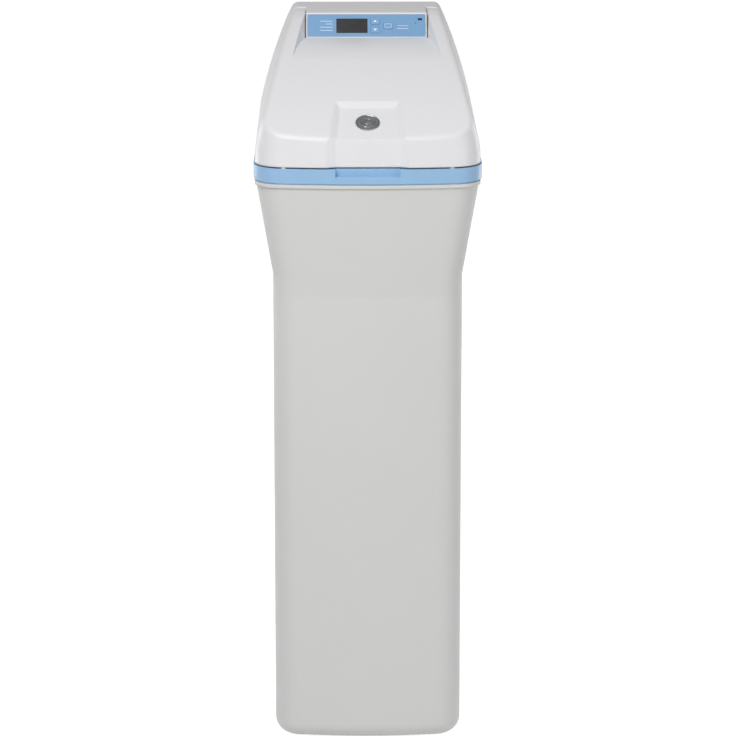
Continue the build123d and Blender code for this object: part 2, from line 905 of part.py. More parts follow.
def make_power_gland():
    gland = along_y(gland_radius, hood_rear - hood_wall, hood_rear, gland_x, gland_z)
    gland += along_y(gland_flange, hood_rear, hood_rear + gland_flange_height, gland_x, gland_z)
    inside = hood_rear - hood_wall
    gland += along_y(gland_flange, inside - gland_flange_height, inside, gland_x, gland_z)
    gland += along_y(gland_radius, inside - gland_length, inside, gland_x, gland_z)
    return gland - along_y(gland_bore, inside - gland_length - overrun, hood_rear + overrun, gland_x, gland_z)


def on_face(shape, x, up, depth=0):
    """Puts a shape on the pod's sloping face, above its lower edge and below its surface."""
    return pod_face.location * Pos(x, up, -depth) * shape


def pod_outline():
    tilt = radians(pod_tilt)
    apex = (pod_y + pod_face_height * cos(tilt), pod_z + pod_face_height * sin(tilt))
    return upright_face([(pod_y, pod_z), apex, (cover_front, overall_height), (cover_front, pod_bottom),
                         (pod_lip_y, pod_bottom)])


def key_sites():
    return {
        "button_up": (arrow_x, arrow_up_height),
        "button_down": (arrow_x, arrow_down_height),
        "button_select": (select_x, select_up),
    }


def key_outline(grow):
    return RectangleRounded(button_width + 2 * grow, button_height + 2 * grow, button_round + grow)


def lens_outline(grow):
    return RectangleRounded(indicator_width + 2 * grow, indicator_height + 2 * grow, indicator_round + grow)


def make_control_housing():
    outline = pod_outline()
    pod = extrude_x(outline, pod_half)
    apex = [e for e in pod.edges() if abs(e.bounding_box().size.X - 2 * pod_half) < seat_gap
            and abs(e.center().Y - (pod_y + pod_face_height * cos(radians(pod_tilt)))) < seat_gap]
    pod = fillet(apex, pod_edge_round)
    hollow = extrude_x(offset(outline, -pod_wall), pod_half - pod_wall)
    mouth_half = pod_half - pod_wall
    front = pod_lip_y + pod_wall
    pod -= [hollow, block(-mouth_half, mouth_half, front, cover_front - pod_wall, pod_bottom - overrun,
                          pod_bottom + 2 * pod_wall)]
    plate = RectangleRounded(2 * plate_half + 2 * seat_gap, plate_height + 2 * seat_gap, plate_corner)
    pod -= on_face(extrude(plate, amount=overrun), 0, plate_bottom + plate_height / 2, plate_thickness)
    deep = pod_wall + overrun / 2
    rest = window_rest
    window = Rectangle(window_width - 2 * rest, window_height - 2 * rest)
    pod -= on_face(extrude(window, amount=deep), window_x, window_up, deep)
    lamp = lens_outline(-indicator_rest)
    pod -= on_face(extrude(lamp, amount=deep), indicator_x, indicator_up, deep)
    for x, up in key_sites().values():
        pod -= on_face(extrude(key_outline(button_gap), amount=deep), x, up, deep)
    for side in (-1, 1):
        start = mouth_half - pin_hold if side > 0 else -mouth_half
        pod += along_x(hinge_radius - lid_seam, start, start + pin_hold, hinge_y, hinge_z)
        for up in (board_rest, plate_height - board_rest):
            post = Cylinder(post_radius, board_depth - pod_wall + seat_gap,
                            align=(Align.CENTER, Align.CENTER, Align.MIN))
            pod += on_face(post, side * (board_half - 4 * post_radius), up, board_depth)
    return pod - along_x(pin_radius, -pod_half - overrun, pod_half + overrun, hinge_y, hinge_z)


def make_faceplate():
    plate = RectangleRounded(2 * plate_half, plate_height, plate_corner)
    panel = on_face(extrude(plate, amount=plate_thickness), 0, plate_bottom + plate_height / 2,
                    plate_thickness)
    window = Rectangle(window_width + 2 * seat_gap, window_height + 2 * seat_gap)
    panel -= on_face(extrude(window, amount=2 * overrun), window_x, window_up, overrun)
    lamp = lens_outline(seat_gap)
    panel -= on_face(extrude(lamp, amount=2 * overrun), indicator_x, indicator_up, overrun)
    for x, up in key_sites().values():
        panel -= on_face(extrude(key_outline(button_gap), amount=2 * overrun), x, up, overrun)
    return panel


def make_display_window():
    glass = extrude(Rectangle(window_width, window_height), amount=plate_thickness)
    glass = chamfer(glass.faces().sort_by(Axis.Z)[-1].edges(), seat_gap)
    return on_face(glass, window_x, window_up, plate_thickness)


def make_indicator_lens():
    lens = extrude(lens_outline(0), amount=plate_thickness)
    return on_face(lens, indicator_x, indicator_up, plate_thickness)


def make_button(site):
    x, up = site
    cap = extrude(key_outline(0), amount=pod_wall + button_flange_gap + button_proud)
    cap = fillet(cap.faces().sort_by(Axis.Z)[-1].edges(), button_proud / 2)
    button = on_face(cap, x, up, pod_wall + button_flange_gap)
    flange = extrude(key_outline(button_flange), amount=button_flange)
    button += on_face(flange, x, up, pod_wall + button_flange_gap + button_flange)
    stem_top = pod_wall + button_flange_gap
    stem_end = board_depth - switch_height - button_travel - seat_gap / 2
    stem = Cylinder(button_stem / 2, stem_end - stem_top, align=(Align.CENTER, Align.CENTER, Align.MIN))
    return button + on_face(stem, x, up, stem_end)


def make_circuit_board():
    """Board behind the panel with the display module, key switches and the lead socket."""
    middle = plate_height / 2
    board = on_face(Box(2 * board_half, board_height, board_thickness), 0, middle,
                    board_depth + board_thickness / 2)
    glass_back = plate_thickness + seat_gap
    module = Box(window_width - 4 * window_rest, window_height - 4 * window_rest, board_depth - glass_back)
    board += on_face(module, window_x, window_up, (board_depth + glass_back) / 2)
    for x, up in key_sites().values():
        switch = Box(switch_size, switch_size, switch_height)
        board += on_face(switch, x, up, board_depth - switch_height / 2)
    lamp = Cylinder(indicator_round - indicator_rest - seat_gap, board_depth - glass_back)
    board += on_face(lamp, indicator_x, indicator_up, (board_depth + glass_back) / 2)
    socket = Box(socket_width, socket_height, socket_depth)
    return board + on_face(socket, -window_x, middle, board_depth + board_thickness + socket_depth / 2)


def vessel_outline(inset):
    """Half outline of the resin tank: round ends, straight side and neck."""
    radius = vessel_radius - inset
    dome = vessel_dome - inset
    centre = vessel_radius - vessel_dome
    low = vessel_bottom + vessel_dome
    high = vessel_shoulder
    neck = neck_radius if inset == 0 else neck_bore
    neck_z = high + sqrt(dome**2 - (neck - centre) ** 2)
    diagonal = dome * cos(radians(45))
    bottom = ThreePointArc((centre, low - dome), (centre + diagonal, low - diagonal), (radius, low))
    side = Line((radius, low), (radius, high))
    half = atan2(neck_z - high, neck - centre) / 2
    top = ThreePointArc(
        (radius, high), (centre + dome * cos(half), high + dome * sin(half)), (neck, neck_z)
    )
    rest = Polyline((neck, neck_z), (neck, neck_top), (0, neck_top), (0, low - dome), (centre, low - dome))
    return make_face([bottom, side, top, *rest.edges()])


def turned(outline, y=0, x=0):
    """Solid of revolution of a half outline, standing at a place."""
    return Pos(x, y, 0) * revolve(Plane.XZ * outline, Axis.Z)


def make_resin_tank():
    tank = turned(vessel_outline(0), tank_y)
    tank += upright(flange_radius, neck_top - flange_height, neck_top, y=tank_y)
    return tank - turned(vessel_outline(vessel_wall), tank_y)


def make_tank_boot():
    boot = upright(boot_radius, floor_top, floor_top + boot_height, y=tank_y)
    boot = fillet(boot.faces().sort_by(Axis.Z)[0].edges(), tank_bottom_round - tank_wall - boot_wall / 2)
    boot -= turned(vessel_outline(0), tank_y)
    boot -= upright(vessel_radius - vessel_dome - boot_wall, floor_top - overrun, vessel_bottom + overrun,
                    y=tank_y)
    for step in range(boot_slots):
        turn = Pos(0, tank_y, 0) * Rot(0, 0, step * 360 / boot_slots)
        slot = block(0, 2 * vessel_radius, -boot_slot_half, boot_slot_half, floor_top - overrun,
                     floor_top + boot_wall)
        boot -= turn * slot
    return boot


def make_resin_bed():
    form = turned(vessel_outline(vessel_wall + bed_gap), tank_y)
    bed = form & block(-vessel_radius, vessel_radius, 0, cabinet_depth, 0, bed_top)
    bed -= upright(riser_radius + bed_gap, 0, neck_top, y=tank_y)
    return bed - upright(basket_radius + bed_gap, 0, basket_bottom + basket_height + bed_gap, y=tank_y)


def make_riser_tube():
    tube = upright(riser_radius, riser_bottom, riser_top, y=tank_y)
    return tube - upright(riser_radius - riser_wall, riser_bottom - overrun, riser_top + overrun, y=tank_y)


def slotted_basket(radius, bore, bottom, height, wall):
    """Round strainer with tall slots, closed at the bottom and bored for a tube."""
    basket = upright(radius, bottom, bottom + height)
    hollow = upright(radius - wall, bottom + wall, bottom + height - wall)
    basket -= hollow - upright(bore + wall, 0, neck_top)
    slot = block(bore + wall, 2 * radius, -basket_slot_width / 2, basket_slot_width / 2,
                 bottom + 2 * wall, bottom + height - 2 * wall)
    for step in range(basket_slots):
        basket -= Rot(0, 0, step * 360 / basket_slots) * slot
    return basket


def make_bottom_distributor():
    basket = slotted_basket(basket_radius, riser_radius, basket_bottom, basket_height, basket_wall)
    basket -= upright(riser_radius, riser_bottom, neck_top)
    basket -= upright(riser_radius - riser_wall, basket_bottom + basket_wall, riser_bottom)
    return Pos(0, tank_y, 0) * basket


def make_top_distributor():
    bore = riser_radius + seat_gap
    basket = slotted_basket(top_basket_radius, bore, neck_top - top_basket_height, top_basket_height,
                            basket_wall)
    basket += upright(neck_bore - seat_gap, neck_top - basket_wall, neck_top)
    return Pos(0, tank_y, 0) * (basket - upright(bore, neck_top - 2 * top_basket_height, neck_top + overrun))


def make_neck_clamp():
    """Two half rings that grip the flanges of the tank and the valve, with their bolts."""
    bottom = neck_top - flange_height - clamp_lip
    top = neck_top + flange_height + clamp_lip
    ring = upright(clamp_radius, bottom, top)
    bolt_x = clamp_radius + clamp_ear / 2
    ring += block(-clamp_radius - clamp_ear, clamp_radius + clamp_ear, -clamp_ear / 2, clamp_ear / 2,
                  neck_top - flange_height, neck_top + flange_height)
    ring -= upright(neck_radius + clamp_gap, bottom - overrun, top + overrun)
    ring -= upright(flange_radius + clamp_gap, bottom + clamp_lip - seat_gap, top - clamp_lip + seat_gap)
    ring -= block(-2 * clamp_radius, 2 * clamp_radius, -clamp_split / 2, clamp_split / 2, bottom - overrun,
                  top + overrun)
    for x in (-bolt_x, bolt_x):
        ring -= along_y(clamp_bolt_radius, -clamp_ear, clamp_ear, x, neck_top)
    halves = list(ring.solids())
    for x in (-bolt_x, bolt_x):
        bolt = along_y(clamp_bolt_radius, -clamp_ear / 2, clamp_ear / 2, x, neck_top)
        for start in (-clamp_ear / 2 - clamp_bolt_radius, clamp_ear / 2):
            bolt += along_y(2 * clamp_bolt_radius, start, start + clamp_bolt_radius, x, neck_top)
        halves.append(bolt)
    return Pos(0, tank_y, 0) * Compound(halves)


def ring_of(count, radius, start=0):
    """Places evenly spaced round the valve's axis."""
    turns = [radians(start + step * 360 / count) for step in range(count)]
    return [(radius * cos(turn), tank_y + radius * sin(turn)) for turn in turns]


def make_valve_body():
    rim_z = cup_top - valve_flange_height
    profile = make_face(Polyline(
        (0, valve_bottom), (flange_radius, valve_bottom), (flange_radius, valve_bottom + flange_height),
        (neck_radius, valve_bottom + flange_height), (neck_radius, cup_bottom),
        (cup_radius, cup_bottom + flange_height), (cup_radius, rim_z - valve_flange_height / 2),
        (valve_flange_radius, rim_z), (valve_flange_radius, cup_top),
        (0, cup_top), close=True,
    ))
    body = turned(profile, tank_y)
    for x in (-port_x, port_x):
        body += along_y(port_radius, tank_y, port_end, x, port_z)
    body += along_x(venturi_neck, venturi_x + venturi_radius - seat_gap, 0, venturi_y,
                    venturi_z + venturi_height / 2)
    body += along_x(drain_boss, 0, drain_boss_end, drain_y, drain_z)
    body -= upright(cup_bore, cup_floor, cup_top + overrun, y=tank_y)
    body -= upright(riser_radius + seat_gap, valve_bottom - overrun, riser_top, y=tank_y)
    body -= upright(channel_radius, riser_top - seat_gap, cup_floor + seat_gap, y=tank_y)
    ring = upright(neck_bore - basket_wall, valve_bottom - overrun, cup_bottom, y=tank_y)
    body -= ring - upright(riser_radius + seat_gap + basket_wall, 0, neck_top + overrun, y=tank_y)
    for x in (-port_x, port_x):
        body -= along_y(port_bore, tank_y, port_end + overrun, x, port_z)
        inner = x / abs(x) * (cup_bore - 2 * channel_radius)
        body -= upright(channel_radius, port_z, cup_floor + seat_gap, inner, tank_y + channel_radius)
    body -= along_x(drain_radius, drain_boss_end - 2 * drain_boss, drain_boss_end + overrun, drain_y, drain_z)
    for x, y in ring_of(valve_screw_count, valve_screw_circle, screw_start):
        body -= upright(screw_shank, cup_top - valve_flange_height - seat_gap, cup_top + overrun, x, y)
    return body


def make_valve_cover():
    cover = upright(valve_flange_radius, cover_z, cover_top, y=tank_y)
    cover += block(0, ear_x, tank_y - ear_radius, tank_y + ear_radius, cover_z, cover_top)
    cover += upright(ear_radius, cover_z, cover_top, ear_x, tank_y)
    cover += upright(hub_radius, cover_z, cover_top + hub_height, y=tank_y)
    posts = post_sites()
    for x, y in posts:
        cover += upright(plate_post_radius, cover_z, motor_plate_z, x, y)
        cover -= upright(screw_shank, motor_plate_z - screw_length, motor_plate_z + overrun, x, y)
    cover -= upright(shaft_radius + running_gap, cover_z - overrun, cover_top + overrun, y=tank_y)
    bearing = motor_shaft + running_gap
    cover -= upright(bearing, cover_top - cover_height / 2, cover_top + overrun, centre_distance, tank_y)
    for x, y in ring_of(valve_screw_count, valve_screw_circle, screw_start):
        cover -= upright(screw_shank + running_gap, cover_z - overrun, cover_top + overrun, x, y)
    return cover


def post_sites():
    """Where the posts of the motor plate stand."""
    sites = []
    for angle in plate_post_angles:
        turn = radians(angle)
        sites.append((plate_post_circle * cos(turn), tank_y + plate_post_circle * sin(turn)))
    sites.append((ear_x, tank_y))
    return sites


def make_valve_screws():
    screws = []
    for x, y in ring_of(valve_screw_count, valve_screw_circle, screw_start):
        shank = upright(screw_shank, cup_top - valve_flange_height, cover_top, x, y)
        screws.append(shank + upright(screw_head, cover_top, cover_top + screw_head_height, x, y))
    top = motor_plate_z + motor_plate_height
    for x, y in post_sites():
        shank = upright(screw_shank, motor_plate_z - screw_length, top, x, y)
        screws.append(shank + upright(screw_head, top, top + screw_head_height, x, y))
    return Compound(screws)


def make_rotor_disc():
    bottom = cup_floor + rotor_gap
    disc = upright(rotor_radius, bottom, bottom + rotor_height)
    for step in range(rotor_slots):
        turn = Rot(0, 0, (step + rotor_turn_share) * 360 / rotor_slots)
        section = Rectangle(rotor_slot_width, rotor_height)
        slot = turned(Pos(rotor_slot_radius, bottom + rotor_height) * section)
        half = rotor_slot_radius * tan(radians(rotor_slot_angle / 2))
        wedge = make_face(Polyline((0, 0), (2 * rotor_slot_radius, 2 * half),
                                   (2 * rotor_slot_radius, -2 * half), close=True))
        disc -= turn * (slot & Pos(0, 0, bottom) * extrude(wedge, amount=2 * rotor_height))
    dog = block(-dog_half, dog_half, -dog_half, dog_half, bottom + rotor_height / 2,
                bottom + 2 * rotor_height)
    return Pos(0, tank_y, 0) * (disc - dog)


def involute(radius, base):
    """Angle that the involute has turned where it reaches a radius."""
    if radius <= base:
        return 0
    lean = acos(base / radius)
    return tan(lean) - lean


def gear_face(teeth, turn):
    """Spur gear outline with involute flanks, turned by an angle in degrees."""
    pitch = gear_module * teeth / 2
    base = pitch * cos(radians(pressure_angle))
    tip = pitch + addendum_share * gear_module
    root = pitch - dedendum_share * gear_module
    half = pi / (2 * teeth) - gear_backlash / (4 * pitch) + involute(pitch, base)
    start = max(base, root)
    middle = (start + tip) / 2

    def at(radius, angle):
        return (radius * cos(angle), radius * sin(angle))

    edges = []
    step = 2 * pi / teeth
    for tooth in range(teeth):
        centre = radians(turn) + tooth * step
        for side in (-1, 1):
            points = [at(r, centre + side * (half - involute(r, base))) for r in (start, middle, tip)]
            edges.append(ThreePointArc(*points))
            if root < start:
                edges.append(Line(at(root, centre + side * half), points[0]))
        tip_half = half - involute(tip, base)
        edges.append(ThreePointArc(at(tip, centre - tip_half), at(tip, centre), at(tip, centre + tip_half)))
        low = centre + half if root < start else centre + half - involute(start, base)
        next_low = centre + step - (low - centre)
        edges.append(ThreePointArc(at(root, low), at(root, (low + next_low) / 2), at(root, next_low)))
    return make_face(edges)


def make_cam_gear():
    """Gear, cam disc and shaft that turn the rotor under the valve cover."""
    root = gear_pitch - dedendum_share * gear_module
    gear = extrude(gear_face(gear_teeth, 0), amount=gear_height)
    pocket = Circle(root - gear_rim_wall) - Circle(hub_radius)
    gear -= extrude(pocket, amount=gear_height - gear_web_height)
    window = Circle(root - 2 * gear_rim_wall) - Circle(cam_radius - spoke_width)
    for step in range(gear_spokes):
        window -= Rot(0, 0, step * 360 / gear_spokes) * Pos(root / 2) * Rectangle(root, spoke_width)
    cam = Circle(cam_radius)
    for step in range(cam_lobes):
        half = cam_radius * tan(radians(cam_lobe_angle / 2))
        wedge = make_face(Polyline((0, 0), (2 * cam_radius, 2 * half), (2 * cam_radius, -2 * half),
                                   close=True))
        lobe = Circle(cam_radius + cam_lobe) & wedge
        cam += Rot(0, 0, (step + rotor_turn_share) * 360 / cam_lobes) * lobe
    gear += Pos(0, 0, gear_height) * extrude(cam, amount=cam_height)
    gear = Pos(0, 0, gear_z) * gear
    rotor_top = cup_floor + rotor_gap + rotor_height
    gear += upright(shaft_radius, rotor_top, gear_z)
    gear += block(-dog_half, dog_half, -dog_half, dog_half, rotor_top - rotor_height / 2, rotor_top)
    return Pos(0, tank_y, 0) * gear


def make_motor_pinion():
    turn = 180 + 180 / pinion_teeth
    pinion = extrude(gear_face(pinion_teeth, turn), amount=gear_height)
    pinion = Pos(0, 0, gear_z) * pinion
    pinion += upright(pinion_hub, cover_top + gear_rise, gear_z)
    pinion += upright(motor_shaft, cover_top - cover_height / 2 + rotor_gap, motor_base + motor_shaft_reach)
    return Pos(centre_distance, tank_y, 0) * pinion


def make_motor_plate():
    outline = Circle(plate_disc_radius)
    outline += Pos(ear_x / 2) * Rectangle(ear_x, 2 * ear_radius)
    outline += Pos(ear_x) * Circle(ear_radius)
    for side in (-1, 1):
        outline += Pos(centre_distance, side * motor_ear) * Circle(motor_ear_radius + clip_wall)
    outline -= Circle(plate_window_radius)
    plate = Pos(0, tank_y, motor_plate_z) * extrude(outline, amount=motor_plate_height)
    plate -= upright(motor_shaft + 2 * rotor_gap, 0, overall_height, centre_distance, tank_y)
    for x, y in post_sites():
        plate -= upright(screw_shank, 0, overall_height, x, y)
    return plate


def make_gear_motor():
    motor = Cylinder(motor_radius, motor_height, align=(Align.CENTER, Align.CENTER, Align.MIN))
    motor = fillet(motor.faces().sort_by(Axis.Z)[-1].edges(), motor_round)
    for side in (-1, 1):
        motor += Pos(0, side * motor_ear, 0) * Cylinder(
            motor_ear_radius, motor_ear_height, align=(Align.CENTER, Align.CENTER, Align.MIN))
        motor += Pos(0, side * motor_ear, motor_ear_height) * Cylinder(
            screw_head, screw_head_height, align=(Align.CENTER, Align.CENTER, Align.MIN))
    motor += block(-motor_ear_radius, motor_ear_radius, -motor_ear, motor_ear, 0, motor_ear_height)
    motor -= upright(motor_shaft + running_gap, -overrun, motor_shaft_reach + rotor_gap)
    return Pos(centre_distance, tank_y, motor_base) * motor


def make_position_switch():
    tip = -(cam_radius + cam_lobe + switch_gap)
    face = tip - switch_gap - 2 * plunger_radius
    body = block(face - sensor_length, face, -sensor_width / 2, sensor_width / 2,
                 motor_plate_z - sensor_height, motor_plate_z)
    middle = gear_z + gear_height + cam_height / 2
    switch = Pos(0, tank_y, 0) * body
    return switch + along_x(plunger_radius, face - plunger_radius, tip, tank_y, middle)


def make_venturi_housing():
    top = venturi_z + venturi_height
    housing = upright(venturi_radius, venturi_z, top, venturi_x, venturi_y)
    housing -= upright(venturi_radius - venturi_cap_step, top - venturi_height / 2, top + overrun,
                       venturi_x, venturi_y)
    middle = venturi_z + venturi_height / 2
    reach = venturi_y - venturi_radius - venturi_port_length
    housing += along_y(venturi_port, reach, venturi_y - venturi_radius + venturi_cap_step, venturi_x, middle)
    housing -= along_y(tube_radius, reach - overrun, reach + venturi_port_length, venturi_x, middle)
    seat = along_x(venturi_neck, venturi_x + venturi_radius - seat_gap, 0, venturi_y, middle)
    return housing - seat


def make_venturi_cap():
    bottom = venturi_z + venturi_height
    cap = upright(venturi_radius, bottom, bottom + venturi_cap_height)
    cap = fillet(cap.faces().sort_by(Axis.Z)[-1].edges(), venturi_cap_step)
    rib = block(venturi_radius - venturi_rib_width, venturi_radius + venturi_cap_step, -venturi_rib_width / 2,
                venturi_rib_width / 2, bottom, bottom + venturi_cap_height - venturi_cap_step)
    cap += [Rot(0, 0, step * 360 / venturi_cap_ribs) * rib for step in range(venturi_cap_ribs)]
    plug = upright(venturi_radius - venturi_cap_step, bottom - venturi_height / 2, bottom)
    return Pos(venturi_x, venturi_y, 0) * (cap + plug)


def tube_along(points, bends, radius, bore):
    """Tube along straight runs joined by tangent bends."""
    path = FilletPolyline(*points, radius=bends)
    start = path % 0
    plane = Plane(origin=path @ 0, z_dir=start)
    outer = sweep(plane * Circle(radius), path=path)
    if bore == 0:
        return outer
    return outer - sweep(plane * Circle(bore), path=path)


def barbs(radius, bore, count):
    """Hose barb that stands on its wide end at zero and points up."""
    points = [(bore, 0)]
    for step in range(count):
        points += [(radius + barb_step, step * barb_pitch), (radius, (step + 1) * barb_pitch)]
    points.append((bore, count * barb_pitch))
    return revolve(Plane.XZ * make_face(Polyline(*points, close=True)), Axis.Z)


def make_drain_elbow():
    start = drain_boss_end - drain_boss
    high = drain_z + drain_rise
    barb_start = drain_end - barb_count * barb_pitch
    points = [(start, drain_y, drain_z), (drain_x, drain_y, drain_z), (drain_x, drain_rise_y, high),
              (drain_x, barb_start, high)]
    elbow = tube_along(points, drain_bend, drain_radius, drain_bore)
    elbow += along_x(drain_boss, drain_boss_end, drain_boss_end + clip_wall, drain_y, drain_z) - along_x(
        drain_bore, drain_boss_end - overrun, drain_boss_end + overrun, drain_y, drain_z)
    tail = barbs(drain_radius, drain_bore, barb_count)
    return elbow + Pos(drain_x, barb_start, high) * Rot(-90, 0, 0) * tail


def make_turbine_wheel():
    half = turbine_length / 2
    wheel = along_y(turbine_hub, -half, half, 0, 0)
    blade = Rot(blade_pitch, 0, 0) * block(0, turbine_radius, -half, half, -blade_width / 2, blade_width / 2)
    for step in range(turbine_blades):
        wheel += Rot(0, step * 360 / turbine_blades, 0) * blade
    wheel &= along_y(turbine_radius, -half, half, 0, 0)
    wheel -= along_y(turbine_axle + axle_gap, -overrun, overrun, 0, 0)
    return Pos(port_x, turbine_y + half, port_z) * wheel


def make_turbine_support():
    start = turbine_y + turbine_length + rotor_gap
    ring = along_y(port_bore, start, start + spider_length, 0, 0)
    ring -= along_y(port_bore - spider_arm, start - overrun, start + overrun, 0, 0)
    hub = along_y(turbine_hub, start, start + spider_length, 0, 0)
    for step in range(spider_arms):
        arm = block(0, port_bore - spider_arm / 2, start, start + spider_length, -spider_arm / 2,
                    spider_arm / 2)
        hub += Rot(0, step * 360 / spider_arms, 0) * arm
    axle = along_y(turbine_axle, turbine_y - rotor_gap, start, 0, 0)
    return Pos(port_x, 0, port_z) * (ring + hub + axle)


def make_bypass_body():
    body = along_x(barrel_radius, -barrel_half, barrel_half, bypass_y, port_z)
    for x in (-port_x, port_x):
        body += along_y(socket_radius, socket_front, bypass_y, x, port_z)
        body += along_y(rear_socket_radius, bypass_y, socket_rear, x, port_z)
    for x in (-port_x, port_x):
        body -= along_y(port_radius + seat_gap / 2, socket_front - overrun, port_end + socket_shoulder, x,
                        port_z)
        body -= along_y(port_bore, port_end, socket_rear, x, port_z)
        body -= along_y(adapter_radius + seat_gap / 2, socket_rear - adapter_insert, socket_rear + overrun,
                        x, port_z)
    return body - along_x(barrel_bore + running_gap, -overall_width, overall_width, bypass_y, port_z)


def make_bypass_spool():
    """Push-pull spool: wide lands between necks, with a knob at each end."""
    left = -barrel_half - knob_gap
    right = barrel_half + knob_gap + spool_travel
    spool = along_x(spool_neck, left, right, bypass_y, port_z)
    for share in spool_land_shares:
        middle = share * barrel_half
        spool += along_x(barrel_bore, middle - spool_land / 2, middle + spool_land / 2, bypass_y, port_z)
    spool += along_x(barrel_bore, barrel_half - spool_land, right, bypass_y, port_z)
    for start in (left - knob_height, right):
        knob = along_x(knob_radius, start, start + knob_height, bypass_y, port_z)
        knob = fillet(knob.edges().filter_by(GeomType.CIRCLE), knob_round)
        spool += knob
    return spool


def make_adapter(x):
    start = socket_rear - adapter_insert
    pipe = along_y(adapter_radius, start, overall_depth, x, port_z)
    pipe += along_y(collar_radius, socket_rear, socket_rear + collar_length, x, port_z)
    return pipe - along_y(adapter_bore, start - overrun, overall_depth + overrun, x, port_z)


def make_port_clips():
    """Open spring clips round the sockets where the bypass joins the valve."""
    clips = []
    start = socket_front + clip_wall
    for x in (-port_x, port_x):
        ring = along_y(socket_radius + clip_wall, start, start + clip_width, x, port_z)
        ring -= along_y(socket_radius, start - overrun, start + overrun, x, port_z)
        half = socket_radius * tan(radians(clip_opening / 2))
        gap = make_face(Polyline((0, 0), (2 * half, 2 * socket_radius), (-2 * half, 2 * socket_radius),
                                 close=True))
        wedge = extrude(gap, amount=-2 * overrun - clip_width)
        clips.append(ring - Pos(x, start - overrun, port_z) * Rot(90, 0, 0) * wedge)
    return Compound(clips)


def make_brinewell():
    well = upright(well_radius, floor_top, well_top)
    well -= upright(well_radius - well_wall, floor_top - overrun, well_top + overrun)
    for row in range(well_slot_rows):
        low = floor_top + well_slot_start + row * well_slot_pitch
        for step in range(well_slots):
            slot = block(0, 2 * well_radius, -well_slot_width / 2, well_slot_width / 2, low,
                         low + well_slot_height)
            well -= Rot(0, 0, step * 360 / well_slots) * slot
    return Pos(well_x, well_y, 0) * well


def make_brinewell_cap():
    inside = well_radius - well_wall - 2 * seat_gap
    cap = upright(well_radius + well_cap_wall, well_top, well_top + well_cap_height)
    cap = fillet(cap.faces().sort_by(Axis.Z)[-1].edges(), well_cap_wall)
    cap += upright(inside, well_top - well_cap_skirt, well_top)
    cap -= upright(inside - well_cap_wall, well_top - well_cap_skirt - overrun,
                   well_top + well_cap_height - well_cap_wall)
    half = tube_radius + well_cap_wall / 2
    cap -= upright(half, well_top - overrun, well_top + overrun)
    cap -= block(-half, half, 0, 2 * well_radius, well_top - 2 * overrun, well_top + overrun)
    return Pos(well_x, well_y, 0) * cap


def make_brine_riser():
    """Rigid tube in the well with its foot valve, float stops and top nut."""
    riser = upright(tube_radius, floor_top + riser_foot / 2, nut_top - nut_height)
    riser += upright(brine_foot_radius, floor_top, floor_top + brine_foot_height)
    riser += upright(stop_radius, float_bottom - rotor_gap - stop_height, float_bottom - rotor_gap)
    upper = float_bottom + float_height + float_travel + rotor_gap
    riser += upright(stop_radius, upper, upper + stop_height)
    riser += upright(nut_radius, nut_top - nut_height, nut_top)
    riser -= upright(tube_radius, nut_top - tube_end_depth, nut_top + overrun)
    riser -= upright(tube_radius - tube_wall, floor_top + tube_wall, nut_top)
    slot = block(0, 2 * brine_foot_radius, -tube_wall, tube_wall, floor_top + tube_wall,
                 floor_top + brine_foot_height / 2)
    for step in range(brine_foot_slots):
        riser -= Rot(0, 0, step * 360 / brine_foot_slots) * slot
    return Pos(well_x, well_y, 0) * riser


def make_brine_float():
    body = upright(float_radius, float_bottom, float_bottom + float_height)
    body = fillet(body.edges().filter_by(GeomType.CIRCLE), float_round)
    return Pos(well_x, well_y, 0) * (body - upright(tube_radius + float_gap, 0, neck_top))


def make_brine_tube():
    middle = venturi_z + venturi_height / 2
    start = venturi_y - venturi_radius - tube_seat
    points = [(well_x, start, middle), (well_x, well_y, middle), (well_x, well_y, nut_top - tube_end_depth)]
    return tube_along(points, tube_bend, tube_radius, tube_radius - tube_wall)


def make_overflow_grommet():
    inner = tank_rear - tank_wall
    grommet = along_y(grommet_groove, inner, tank_rear, overflow_x, overflow_z)
    grommet += along_y(grommet_radius, inner - grommet_lip, inner, overflow_x, overflow_z)
    grommet += along_y(grommet_radius, tank_rear, tank_rear + grommet_lip, overflow_x, overflow_z)
    return grommet - along_y(overflow_radius, 0, overall_depth, overflow_x, overflow_z)


def make_overflow_elbow():
    start = tank_rear - tank_wall - 2 * grommet_lip
    back = tank_rear + overflow_reach
    low = overflow_z - overflow_drop
    points = [(overflow_x, start, overflow_z), (overflow_x, back, overflow_z), (overflow_x, back, low)]
    elbow = tube_along(points, overflow_bend, overflow_radius, overflow_bore)
    barb = barbs(overflow_radius, overflow_bore, barb_count)
    return elbow + Pos(overflow_x, back, low) * Rot(180, 0, 0) * barb


